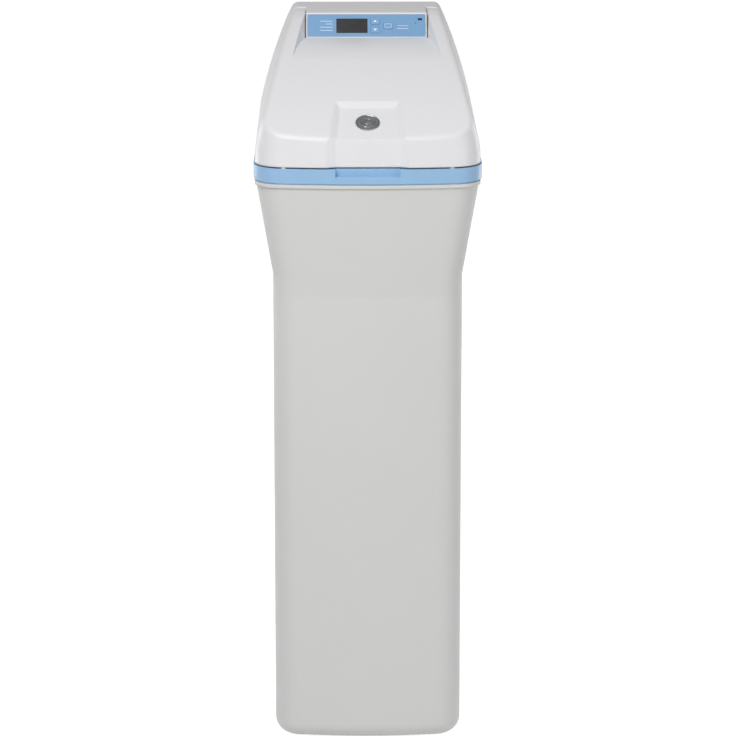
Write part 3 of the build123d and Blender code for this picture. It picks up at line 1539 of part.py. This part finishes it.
os.makedirs("parts", exist_ok=True)
hood_outer = hood_form(0)
hood_inner = hood_form(hood_wall)
rim = make_rim()
rim += make_screw_posts()
parts = {
    "salt_tank": make_salt_tank(),
    "rim": rim,
    "lid_bumpers": make_lid_bumpers(),
    "salt_lid": make_salt_lid(hood_outer, hood_inner),
    "lid_badge": make_lid_badge(),
    "hinge_pins": make_hinge_pins(),
    "rear_cover": make_rear_cover(hood_outer, hood_inner),
    "cover_screws": make_cover_screws(),
    "power_gland": make_power_gland(),
    "control_housing": make_control_housing(),
    "faceplate": make_faceplate(),
    "display_window": make_display_window(),
    "indicator_lens": make_indicator_lens(),
    "circuit_board": make_circuit_board(),
    "resin_tank": make_resin_tank(),
    "tank_boot": make_tank_boot(),
    "resin_bed": make_resin_bed(),
    "riser_tube": make_riser_tube(),
    "bottom_distributor": make_bottom_distributor(),
    "top_distributor": make_top_distributor(),
    "neck_clamp": make_neck_clamp(),
    "valve_body": make_valve_body(),
    "valve_cover": make_valve_cover(),
    "valve_screws": make_valve_screws(),
    "rotor_disc": make_rotor_disc(),
    "cam_gear": make_cam_gear(),
    "motor_pinion": make_motor_pinion(),
    "motor_plate": make_motor_plate(),
    "gear_motor": make_gear_motor(),
    "position_switch": make_position_switch(),
    "venturi_housing": make_venturi_housing(),
    "venturi_cap": make_venturi_cap(),
    "drain_elbow": make_drain_elbow(),
    "turbine_wheel": make_turbine_wheel(),
    "turbine_support": make_turbine_support(),
    "bypass_body": make_bypass_body(),
    "bypass_spool": make_bypass_spool(),
    "inlet_adapter": make_adapter(-port_x),
    "outlet_adapter": make_adapter(port_x),
    "port_clips": make_port_clips(),
    "brinewell": make_brinewell(),
    "brinewell_cap": make_brinewell_cap(),
    "brine_riser": make_brine_riser(),
    "brine_float": make_brine_float(),
    "brine_tube": make_brine_tube(),
    "overflow_grommet": make_overflow_grommet(),
    "overflow_elbow": make_overflow_elbow(),
}
for name, site in key_sites().items():
    parts[name] = make_button(site)

to_origin = Pos(0, -overall_depth / 2, 0)
for name, shape in parts.items():
    export_step(to_origin * shape, f"parts/{name}.step")
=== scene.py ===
import json
from math import cos, pi, radians, sin

import bmesh
import bpy
from mathutils import Matrix, Vector


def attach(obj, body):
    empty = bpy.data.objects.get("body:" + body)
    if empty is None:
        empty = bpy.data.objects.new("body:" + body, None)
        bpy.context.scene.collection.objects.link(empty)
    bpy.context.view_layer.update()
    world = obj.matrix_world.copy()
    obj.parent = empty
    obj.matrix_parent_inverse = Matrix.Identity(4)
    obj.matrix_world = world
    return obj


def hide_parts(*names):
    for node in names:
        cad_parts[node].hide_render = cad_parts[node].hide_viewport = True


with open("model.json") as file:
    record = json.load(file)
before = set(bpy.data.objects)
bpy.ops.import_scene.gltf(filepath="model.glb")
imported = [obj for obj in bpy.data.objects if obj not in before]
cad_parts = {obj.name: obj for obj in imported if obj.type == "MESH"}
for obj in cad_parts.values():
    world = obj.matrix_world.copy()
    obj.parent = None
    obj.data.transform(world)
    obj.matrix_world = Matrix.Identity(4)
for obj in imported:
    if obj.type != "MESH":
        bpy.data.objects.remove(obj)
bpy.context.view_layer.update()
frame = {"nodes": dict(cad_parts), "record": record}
nodes = frame["nodes"]
scene = bpy.context.scene

# Camera: far away, pitched down, a little to the left of the cabinet's middle
DEPTH_CENTRE = 0.280
CAMERA_DISTANCE = 5.5
CAMERA_HEIGHT = 1.9933
CAMERA_PITCH = 14.0
CAMERA_LENS = 177.82
CAMERA_TURN = -0.45

camera_data = bpy.data.cameras.new("camera")
camera_data.lens = CAMERA_LENS
camera_data.sensor_width = 36
camera_data.clip_end = 60
camera = bpy.data.objects.new("camera", camera_data)
turn = radians(CAMERA_TURN)
camera.location = (CAMERA_DISTANCE * sin(turn), -CAMERA_DISTANCE * cos(turn) - DEPTH_CENTRE,
                   CAMERA_HEIGHT)
camera.rotation_euler = (radians(90 - CAMERA_PITCH), 0, turn)
scene.collection.objects.link(camera)
scene.camera = camera


# Materials
def linear(red, green, blue):
    """Linear colour of an sRGB one given from 0 to 255."""
    out = []
    for value in (red, green, blue):
        v = value / 255
        out.append(v / 12.92 if v <= 0.04045 else ((v + 0.055) / 1.055) ** 2.4)
    return (*out, 1.0)


def shaded(colour, share):
    """The colour made lighter or darker by a share."""
    return (*[min(1.0, max(0.0, c * (1 + share))) for c in colour[:3]], 1.0)


def new_material(name):
    material = bpy.data.materials.new(name)
    material.use_nodes = True
    tree = material.node_tree
    return material, tree, tree.nodes["Principled BSDF"]


def object_place(tree):
    """Place on the object, which every pattern is fixed to."""
    return tree.nodes.new("ShaderNodeTexCoord").outputs["Object"]


def noise(tree, place, scale, detail, roughness=0.5):
    node = tree.nodes.new("ShaderNodeTexNoise")
    node.inputs["Scale"].default_value = scale
    node.inputs["Detail"].default_value = detail
    node.inputs["Roughness"].default_value = roughness
    tree.links.new(place, node.inputs["Vector"])
    return node.outputs["Fac"]


def spread(tree, value, low, high, from_low=0.3, from_high=0.7):
    """Value brought to low and high from the range that most of a noise lies in."""
    node = tree.nodes.new("ShaderNodeMapRange")
    node.inputs["From Min"].default_value = from_low
    node.inputs["From Max"].default_value = from_high
    node.inputs["To Min"].default_value = low
    node.inputs["To Max"].default_value = high
    tree.links.new(value, node.inputs["Value"])
    return node.outputs["Result"]


def blend_colour(tree, value, first, second):
    node = tree.nodes.new("ShaderNodeMix")
    node.data_type = "RGBA"
    node.inputs["A"].default_value = first
    node.inputs["B"].default_value = second
    tree.links.new(value, node.inputs["Factor"])
    return node.outputs["Result"]


def bumped(tree, height, strength, distance, normal=None):
    node = tree.nodes.new("ShaderNodeBump")
    node.inputs["Strength"].default_value = strength
    node.inputs["Distance"].default_value = distance
    tree.links.new(height, node.inputs["Height"])
    if normal is not None:
        tree.links.new(normal, node.inputs["Normal"])
    return node.outputs["Normal"]


def eased_edges(tree, radius):
    """Normal that rounds the shading of sharp edges, as a moulding's small radii do."""
    node = tree.nodes.new("ShaderNodeBevel")
    node.samples = 8
    node.inputs["Radius"].default_value = radius
    return node.outputs["Normal"]


GLOSS_PER_MOTTLE = 7
WAVE_SCALE = 9.0


def plastic(name, colour, rough, grain=900.0, grain_depth=0.00004, mottle=6.0, mottle_share=0.02,
            coat=0.0, wave_depth=0.0, edge=0.0):
    """Moulded plastic: fine grain, slow waviness, faint mottling, uneven gloss and eased edges."""
    material, tree, shader = new_material(name)
    place = object_place(tree)
    slow = noise(tree, place, scale=mottle, detail=3)
    shade = spread(tree, slow, low=0, high=1)
    mottled = blend_colour(tree, shade, shaded(colour, -mottle_share), shaded(colour, mottle_share))
    tree.links.new(mottled, shader.inputs["Base Color"])
    gloss = noise(tree, place, scale=mottle * GLOSS_PER_MOTTLE, detail=4)
    tree.links.new(spread(tree, gloss, low=rough - 0.05, high=rough + 0.06), shader.inputs["Roughness"])
    fine = noise(tree, place, scale=grain, detail=2, roughness=0.6)
    eased = eased_edges(tree, edge) if edge else None
    normal = bumped(tree, fine, strength=0.5, distance=grain_depth, normal=eased)
    if wave_depth:
        wave = noise(tree, place, scale=WAVE_SCALE, detail=1)
        normal = bumped(tree, wave, strength=0.6, distance=wave_depth, normal=normal)
    tree.links.new(normal, shader.inputs["Normal"])
    shader.inputs["Coat Weight"].default_value = coat
    shader.inputs["Coat Roughness"].default_value = 0.12
    return material


def metal(name, colour, rough, stretch=(1.0, 1.0, 40.0), scratch=0.25):
    """Plated or brushed metal with fine drawn lines and cloudy gloss."""
    material, tree, shader = new_material(name)
    place = object_place(tree)
    mapping = tree.nodes.new("ShaderNodeMapping")
    mapping.inputs["Scale"].default_value = stretch
    tree.links.new(place, mapping.inputs["Vector"])
    lines = noise(tree, mapping.outputs["Vector"], scale=260.0, detail=3, roughness=0.7)
    cloud = spread(tree, noise(tree, place, scale=60.0, detail=3), low=0, high=1)
    clouded = blend_colour(tree, cloud, shaded(colour, -0.12), shaded(colour, 0.08))
    tree.links.new(clouded, shader.inputs["Base Color"])
    tree.links.new(spread(tree, lines, low=rough - 0.1, high=rough + 0.12), shader.inputs["Roughness"])
    tree.links.new(bumped(tree, lines, strength=scratch, distance=0.00002), shader.inputs["Normal"])
    shader.inputs["Metallic"].default_value = 1.0
    return material


def rubber(name, colour, rough=0.8):
    """Matt moulded rubber, more mottled than plastic."""
    material = plastic(name, colour, rough, grain=1600.0, grain_depth=0.00006, mottle=25.0,
                       mottle_share=0.12)
    material.node_tree.nodes["Principled BSDF"].inputs["Specular IOR Level"].default_value = 0.3
    return material


def beads(name, colour):
    """Small resin beads packed together."""
    material, tree, shader = new_material(name)
    place = object_place(tree)
    cells = tree.nodes.new("ShaderNodeTexVoronoi")
    cells.inputs["Scale"].default_value = 700.0
    tree.links.new(place, cells.inputs["Vector"])
    tone = tree.nodes.new("ShaderNodeSeparateColor")
    tree.links.new(cells.outputs["Color"], tone.inputs["Color"])
    uneven = blend_colour(tree, tone.outputs["Red"], shaded(colour, -0.4), shaded(colour, 0.5))
    tree.links.new(uneven, shader.inputs["Base Color"])
    domes = bumped(tree, cells.outputs["Distance"], strength=0.8, distance=-0.0006)
    tree.links.new(domes, shader.inputs["Normal"])
    shader.inputs["Roughness"].default_value = 0.3
    return material


def wound_fibre(name, colour):
    """Resin-soaked fibre wound crosswise round a vessel."""
    material, tree, shader = new_material(name)
    place = object_place(tree)
    heights = []
    for tilt in (0.9, -0.9):
        mapping = tree.nodes.new("ShaderNodeMapping")
        mapping.inputs["Rotation"].default_value = (tilt, tilt * 0.4, 0)
        mapping.inputs["Scale"].default_value = (3.0, 3.0, 60.0)
        tree.links.new(place, mapping.inputs["Vector"])
        heights.append(noise(tree, mapping.outputs["Vector"], scale=14.0, detail=4, roughness=0.7))
    add = tree.nodes.new("ShaderNodeMath")
    add.operation = "ADD"
    tree.links.new(heights[0], add.inputs[0])
    tree.links.new(heights[1], add.inputs[1])
    both = add.outputs["Value"]
    strands = spread(tree, both, low=0, high=1, from_low=0.7, from_high=1.3)
    wound = blend_colour(tree, strands, shaded(colour, -0.25), shaded(colour, 0.3))
    tree.links.new(wound, shader.inputs["Base Color"])
    tree.links.new(bumped(tree, both, strength=0.5, distance=0.0006), shader.inputs["Normal"])
    shader.inputs["Roughness"].default_value = 0.38
    shader.inputs["Coat Weight"].default_value = 0.3
    return material


def dark_glass(name, colour):
    """Tinted glossy window or lens, slightly cloudy."""
    material, tree, shader = new_material(name)
    place = object_place(tree)
    cloud = spread(tree, noise(tree, place, scale=45.0, detail=2), low=0, high=1)
    clouded = blend_colour(tree, cloud, shaded(colour, -0.18), shaded(colour, 0.2))
    tree.links.new(clouded, shader.inputs["Base Color"])
    fine = noise(tree, place, scale=700.0, detail=2)
    tree.links.new(spread(tree, fine, low=0.16, high=0.26), shader.inputs["Roughness"])
    tree.links.new(bumped(tree, fine, strength=0.15, distance=0.00001), shader.inputs["Normal"])
    shader.inputs["Specular IOR Level"].default_value = 0.4
    return material


finish = {
    "tank_shell": plastic("tank_moulding", linear(217, 217, 216), 0.52, grain=1100.0, grain_depth=0.00009,
                          mottle=3.0, mottle_share=0.012, wave_depth=0.0008, edge=0.003),
    "rim_blue": plastic("rim_moulding", linear(152, 191, 226), 0.36, mottle=8.0, mottle_share=0.02,
                        edge=0.0012),
    "lid_white": plastic("hood_moulding", linear(232, 232, 234), 0.38, grain=1300.0, grain_depth=0.00003,
                         mottle=4.0, mottle_share=0.008, wave_depth=0.0002, edge=0.004),
    "panel_blue": plastic("panel_film", linear(113, 158, 200), 0.4, grain=2200.0, grain_depth=0.00003,
                          mottle=30.0, mottle_share=0.025),
    "display_glass": dark_glass("display_glass", linear(42, 40, 43)),
    "badge_metal": metal("badge_metal", linear(157, 159, 159), 0.34, stretch=(30.0, 1.0, 1.0)),
    "bumper_rubber": rubber("bumper_pad", linear(206, 206, 204), 0.6),
    "steel": metal("zinc_plate", linear(196, 198, 200), 0.32, stretch=(1.0, 1.0, 1.0)),
    "black_rubber": rubber("black_rubber", linear(34, 34, 35)),
    "lens_dark": dark_glass("lens_dark", linear(34, 50, 84)),
    "board_green": plastic("board_lacquer", linear(40, 96, 58), 0.35, mottle=220.0, mottle_share=0.18,
                           coat=0.3),
    "vessel_grey": wound_fibre("vessel_winding", linear(112, 116, 122)),
    "boot_black": plastic("boot_moulding", linear(38, 38, 40), 0.6, mottle_share=0.08),
    "resin_amber": beads("resin_beads", linear(178, 118, 52)),
    "tube_white": plastic("natural_moulding", linear(222, 221, 214), 0.45, mottle=14.0, mottle_share=0.02),
    "valve_black": plastic("filled_moulding", linear(46, 47, 50), 0.5, grain=700.0, grain_depth=0.0001,
                           mottle=50.0, mottle_share=0.18),
    "plate_steel": metal("pressed_plate", linear(186, 188, 190), 0.34, stretch=(1.0, 30.0, 1.0)),
    "motor_metal": metal("motor_can", linear(176, 176, 172), 0.38, stretch=(1.0, 1.0, 50.0)),
    "switch_black": plastic("switch_moulding", linear(36, 36, 38), 0.45, mottle=80.0, mottle_share=0.1),
    "venturi_grey": plastic("venturi_moulding", linear(120, 123, 127), 0.5, grain=700.0, mottle=40.0,
                            mottle_share=0.06),
    "bypass_black": plastic("bypass_moulding", linear(46, 47, 50), 0.46, grain=700.0, grain_depth=0.0001,
                            mottle=50.0, mottle_share=0.16),
    "adapter_grey": plastic("adapter_moulding", linear(176, 178, 180), 0.42, mottle=30.0,
                            mottle_share=0.03),
    "clip_red": plastic("clip_moulding", linear(178, 44, 36), 0.35, mottle=60.0, mottle_share=0.06,
                        coat=0.2),
    "well_white": plastic("well_moulding", linear(226, 226, 221), 0.5, mottle=9.0, mottle_share=0.02),
    "brine_tube_clear": plastic("milky_tube", linear(214, 220, 222), 0.25, mottle=20.0, mottle_share=0.03,
                                coat=0.3),
    "key_blue": plastic("key_film", linear(117, 162, 203), 0.4, grain=2200.0, grain_depth=0.00003,
                        mottle=40.0, mottle_share=0.02),
    "gear_white": plastic("gear_moulding", linear(224, 222, 210), 0.32, mottle=40.0, mottle_share=0.02,
                          coat=0.2),
    "rotor_grey": plastic("rotor_moulding", linear(118, 119, 124), 0.3, mottle=50.0, mottle_share=0.05),
    "turbine_white": plastic("turbine_moulding", linear(228, 228, 222), 0.32, mottle=60.0,
                             mottle_share=0.02),
    "float_white": plastic("foam_float", linear(230, 230, 228), 0.7, grain=420.0, grain_depth=0.0003,
                           mottle=20.0, mottle_share=0.02),
    "spool_grey": plastic("spool_moulding", linear(128, 130, 132), 0.36, mottle=50.0, mottle_share=0.05),
}
slots = {s["node"]: s["material_slot"] for s in frame["record"]["subparts"]}
for name, obj in nodes.items():
    obj.data.materials.clear()
    obj.data.materials.append(finish[slots[name]])


# Detail pieces
MM = 0.001
SHARP_ANGLE = radians(32)


def add_piece(name, verts, faces, material, body, slot, smooth=True):
    """Mesh piece with outward faces that rides on a body."""
    mesh = bpy.data.meshes.new(name)
    mesh.from_pydata([tuple(v) for v in verts], [], faces)
    mesh.validate()
    work = bmesh.new()
    work.from_mesh(mesh)
    bmesh.ops.recalc_face_normals(work, faces=work.faces)
    work.to_mesh(mesh)
    work.free()
    mesh.materials.append(material)
    for polygon in mesh.polygons:
        polygon.use_smooth = smooth
    if smooth:
        mesh.set_sharp_from_angle(angle=SHARP_ANGLE)
    piece = bpy.data.objects.new(name, mesh)
    scene.collection.objects.link(piece)
    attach(piece, body)
    return piece


# Print on the control pod, in millimetres across and up its face from the pod's own place in the part
POD_FRONT = 300
POD_LEVEL = 1095
POD_TILT = radians(56.7)
POD_ORIGIN = Vector((0, POD_FRONT * MM - DEPTH_CENTRE, POD_LEVEL * MM))
FACE_RIGHT = Vector((1, 0, 0))
FACE_UP = Vector((0, cos(POD_TILT), sin(POD_TILT)))
FACE_OUT = Vector((0, -sin(POD_TILT), cos(POD_TILT)))
INK_DEPTH = 0.03
INK_RISE = 0.07
LEFT_ROWS_END = -54.4
RIGHT_ROWS_END = 67.5
ROW_ROUNDNESS = 0.45
KEY_PROUD = 0.5
KEYS_ACROSS = 14.0
UP_KEY_LEVEL = 28.5
DOWN_KEY_LEVEL = 13.5
ARROW_FOOT = 2.7
ARROW_TIP = 0.5
ARROW_HALF_HEIGHT = 1.5
SELECT_ACROSS = 34.8
SELECT_LEVEL = 20.4
RING_WIDTH = 11.2
RING_HEIGHT = 7.4
RING_CORNER = 2.2
RING_LINE = 0.5
DOT_ACROSS = 79.0
DOT_LEVEL = 25.3
DOT_SIZE = 1.9
DOT_CORNER = 0.94


def on_face(x, up, out=0.0):
    """Place on the control panel's face, in millimetres across, up and out."""
    return POD_ORIGIN + FACE_RIGHT * x * MM + FACE_UP * up * MM + FACE_OUT * out * MM


def rounded_outline(x, up, width, height, corner, steps=6):
    """Points round a rectangle with round corners, given by its middle."""
    points = []
    for quarter, (sx, sy) in enumerate(((1, 1), (-1, 1), (-1, -1), (1, -1))):
        for step in range(steps + 1):
            turn = pi / 2 * (quarter + step / steps)
            points.append((x + sx * (width / 2 - corner) + corner * cos(turn),
                           up + sy * (height / 2 - corner) + corner * sin(turn)))
    return points


def slab(outline, base, top):
    """Vertices and faces of a thin solid on the panel over an outline."""
    count = len(outline)
    verts = [on_face(x, up, base) for x, up in outline] + [on_face(x, up, top) for x, up in outline]
    faces = [tuple(range(count - 1, -1, -1)), tuple(range(count, 2 * count))]
    faces += [(i, (i + 1) % count, count + (i + 1) % count, count + i) for i in range(count)]
    return verts, faces


def band(outer, inner, base, top):
    """Vertices and faces of a thin closed band on the panel between two outlines."""
    count = len(outer)
    loops = [[on_face(x, up, level) for x, up in line] for line, level in
             ((outer, base), (outer, top), (inner, top), (inner, base))]
    verts = [v for loop in loops for v in loop]
    faces = []
    for ring in range(4):
        for i in range(count):
            a, b = ring * count, (ring + 1) % 4 * count
            faces.append((a + i, a + (i + 1) % count, b + (i + 1) % count, b + i))
    return verts, faces


def joined(solids):
    """Vertices and faces of several solids as one set."""
    verts, faces = [], []
    for more_verts, more_faces in solids:
        faces += [tuple(i + len(verts) for i in face) for face in more_faces]
        verts += more_verts
    return verts, faces


white_ink = plastic("white_ink", linear(214, 230, 246), 0.5, grain=2600.0, mottle=90.0, mottle_share=0.03)
dark_ink = plastic("dark_ink", linear(40, 62, 100), 0.5, grain=2600.0, mottle=90.0, mottle_share=0.05)
arrow_ink = plastic("arrow_ink", linear(246, 249, 252), 0.5, grain=2600.0, mottle=90.0, mottle_share=0.02)


def rows_of_ink(name, right, rows):
    """Plain lines in place of print, by level, length and thickness, that end at one place."""
    outlines = [rounded_outline(right - length / 2, up, length, thick, thick * ROW_ROUNDNESS)
                for up, length, thick in rows]
    solids = [slab(outline, -INK_DEPTH, INK_RISE) for outline in outlines]
    return add_piece(name, *joined(solids), white_ink, "cabinet", "panel_blue", smooth=False)


left_rows = ((28.6, 20.0, 1.0), (23.7, 11.4, 1.0), (18.1, 20.0, 1.0), (12.5, 20.0, 1.0))
right_rows = ((20.4, 17.5, 0.8), (15.6, 18.8, 0.8))
rows_of_ink("panel_rows_left", LEFT_ROWS_END, left_rows)
rows_of_ink("panel_rows_right", RIGHT_ROWS_END, right_rows)


def key_arrow(name, body, up, way):
    """Blunt arrow on a key, which points up where way is 1 and down where it is -1."""
    foot = up - way * ARROW_HALF_HEIGHT
    tip = up + way * ARROW_HALF_HEIGHT
    outline = [(KEYS_ACROSS - ARROW_FOOT, foot), (KEYS_ACROSS + ARROW_FOOT, foot),
               (KEYS_ACROSS + ARROW_TIP, tip), (KEYS_ACROSS - ARROW_TIP, tip)]
    mark = slab(outline, KEY_PROUD - INK_DEPTH, KEY_PROUD + INK_RISE)
    return add_piece(name, *mark, arrow_ink, body, "key_blue", smooth=False)


key_arrow("arrow_mark_up", "up_key", UP_KEY_LEVEL, 1)
key_arrow("arrow_mark_down", "down_key", DOWN_KEY_LEVEL, -1)


def select_outline(inset):
    """Outline of the ring on the select key, brought in by an inset."""
    return rounded_outline(SELECT_ACROSS, SELECT_LEVEL, RING_WIDTH - 2 * inset, RING_HEIGHT - 2 * inset,
                           RING_CORNER - inset)


select_ring = band(select_outline(0), select_outline(RING_LINE), KEY_PROUD - INK_DEPTH,
                   KEY_PROUD + INK_RISE)
add_piece("select_mark", *select_ring, white_ink, "select_key", "key_blue", smooth=False)
dot = rounded_outline(DOT_ACROSS, DOT_LEVEL, DOT_SIZE, DOT_SIZE, DOT_CORNER)
add_piece("status_dot", *slab(dot, -INK_DEPTH, INK_RISE), dark_ink, "cabinet", "panel_blue", smooth=False)


# Round badge on the lid: knurled rim, ticked ring and a raised centre with turned rings
BADGE_FRONT = 51.350
BADGE_LEVEL = 999.948
BADGE_SEAT = Vector((0, BADGE_FRONT * MM - DEPTH_CENTRE, BADGE_LEVEL * MM))
BADGE_TILT = radians(28.032)
BADGE_STEPS = 180
BADGE_TOP = 2.6
PLAIN, KNURLED, TICKED = 0, 1, 2
KNURL_DEPTH = 0.22
KNURL_STEPS = 3
TICK_HEIGHT = 0.35
TICK_STEPS = 10
TICK_WIDTH = 3
badge_profile = (
    (18.2, 0.0, PLAIN), (18.95, 0.35, PLAIN), (19.0, 1.1, KNURLED), (18.7, 1.65, KNURLED),
    (18.1, 1.9, PLAIN), (17.3, 1.85, PLAIN), (16.8, 1.45, PLAIN), (16.4, 1.2, PLAIN),
    (13.4, 1.2, TICKED), (12.6, 1.2, TICKED), (12.3, 1.5, PLAIN), (11.8, 2.0, PLAIN),
    (11.1, 2.15, PLAIN), (10.4, 2.0, PLAIN), (10.0, 1.75, PLAIN), (8.6, 1.72, PLAIN),
    (8.3, 2.1, PLAIN), (7.2, 2.28, PLAIN), (6.9, 2.0, PLAIN), (5.6, 2.05, PLAIN),
    (5.2, 2.35, PLAIN), (3.6, 2.5, PLAIN), (1.6, 2.58, PLAIN),
)


def on_badge(local):
    """Place of a point that is given in metres from the middle of the badge's seat."""
    return BADGE_SEAT + Matrix.Rotation(BADGE_TILT, 3, "X") @ local


def badge_mesh():
    """Vertices and faces of the profile turned round, with its knurls and ticks."""
    verts, faces = [], []
    for radius, height, kind in badge_profile:
        for step in range(BADGE_STEPS):
            turn = 2 * pi * step / BADGE_STEPS
            r, z = radius, height
            if kind == KNURLED and step % KNURL_STEPS == 0:
                r -= KNURL_DEPTH
            if kind == TICKED and step % TICK_STEPS < TICK_WIDTH:
                z += TICK_HEIGHT
            verts.append(on_badge(Vector((r * cos(turn), r * sin(turn), z)) * MM))
    rings = len(badge_profile)
    for ring in range(rings - 1):
        for step in range(BADGE_STEPS):
            nxt = (step + 1) % BADGE_STEPS
            a, b = ring * BADGE_STEPS, (ring + 1) * BADGE_STEPS
            faces.append((a + step, a + nxt, b + nxt, b + step))
    top = len(verts)
    verts.append(on_badge(Vector((0, 0, BADGE_TOP * MM))))
    verts.append(on_badge(Vector((0, 0, 0))))
    last = (rings - 1) * BADGE_STEPS
    for step in range(BADGE_STEPS):
        nxt = (step + 1) % BADGE_STEPS
        faces.append((last + step, last + nxt, top))
        faces.append((nxt, step, top + 1))
    return verts, faces


badge = add_piece("turned_badge", *badge_mesh(), finish["badge_metal"], "lid", "badge_metal")
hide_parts("lid_badge")


# Floor and light
FLOOR_GLOW = 0.8
FLOOR_REACH = 12.0
WORLD_LEVEL = 0.26


def any_ray(tree, *kinds):
    """1 for rays of one of these kinds of Light Path, and 0 for the rest."""
    seen = tree.nodes.new("ShaderNodeLightPath")
    found = seen.outputs[kinds[0]]
    for kind in kinds[1:]:
        either = tree.nodes.new("ShaderNodeMath")
        either.operation = "MAXIMUM"
        tree.links.new(found, either.inputs[0])
        tree.links.new(seen.outputs[kind], either.inputs[1])
        found = either.outputs["Value"]
    return found


def pale_floor():
    """Pale matt floor with a glow that only camera, glossy and transmission rays meet."""
    material, tree, shader = new_material("pale_floor")
    place = object_place(tree)
    cloud = noise(tree, place, scale=3.0, detail=2)
    pale = blend_colour(tree, cloud, linear(232, 232, 232), linear(236, 236, 236))
    tree.links.new(pale, shader.inputs["Base Color"])
    shader.inputs["Roughness"].default_value = 0.9
    shader.inputs["Specular IOR Level"].default_value = 0.1
    seen = any_ray(tree, "Is Camera Ray", "Is Glossy Ray", "Is Transmission Ray")
    lift = tree.nodes.new("ShaderNodeMath")
    lift.operation = "MULTIPLY"
    lift.inputs[1].default_value = FLOOR_GLOW
    tree.links.new(seen, lift.inputs[0])
    glow = tree.nodes.new("ShaderNodeEmission")
    tree.links.new(lift.outputs["Value"], glow.inputs["Strength"])
    both = tree.nodes.new("ShaderNodeAddShader")
    tree.links.new(shader.outputs["BSDF"], both.inputs[0])
    tree.links.new(glow.outputs["Emission"], both.inputs[1])
    tree.links.new(both.outputs["Shader"], tree.nodes["Material Output"].inputs["Surface"])
    return material


floor_mesh = bpy.data.meshes.new("floor")
corners = [(x * FLOOR_REACH, y * FLOOR_REACH, 0) for x, y in ((-1, -1), (1, -1), (1, 1), (-1, 1))]
floor_mesh.from_pydata(corners, [], [(0, 1, 2, 3)])
floor = bpy.data.objects.new("floor", floor_mesh)
floor.data.materials.append(pale_floor())
scene.collection.objects.link(floor)


def studio_world():
    """World that is white to camera and transmission rays, and dim to the rest."""
    world = bpy.data.worlds.new("studio")
    world.use_nodes = True
    tree = world.node_tree
    background = tree.nodes["Background"]
    background.inputs["Color"].default_value = (1, 1, 1, 1)
    level = tree.nodes.new("ShaderNodeMapRange")
    level.inputs["To Min"].default_value = WORLD_LEVEL
    level.inputs["To Max"].default_value = 1.0
    tree.links.new(any_ray(tree, "Is Camera Ray", "Is Transmission Ray"), level.inputs["Value"])
    tree.links.new(level.outputs["Result"], background.inputs["Strength"])
    return world


scene.world = studio_world()


def softbox(name, place, aim, size, watts):
    """Area lamp that faces a point."""
    data = bpy.data.lights.new(name, "AREA")
    data.shape = "RECTANGLE"
    data.size, data.size_y = size
    data.energy = watts
    lamp = bpy.data.objects.new(name, data)
    lamp.location = place
    lamp.rotation_euler = (Vector(aim) - Vector(place)).to_track_quat("-Z", "Y").to_euler()
    scene.collection.objects.link(lamp)


softbox("key", place=(-1.02, -2.63, 3.25), aim=(0, -0.2, 0.7), size=(2.2, 2.2), watts=84)
softbox("top", place=(0.2, -0.2, 3.2), aim=(0, 0, 1.0), size=(2.4, 2.4), watts=5)
softbox("fill", place=(2.6, -2.2, 1.4), aim=(0, 0, 0.6), size=(1.8, 2.4), watts=18)
for name, side in (("back_left", -1), ("back_right", 1)):
    softbox(name, place=(side * 3.0, 2.8, 1.0), aim=(0, 0.2, 0.5), size=(1.6, 2.0), watts=30)

scene.view_settings.view_transform = "Standard"
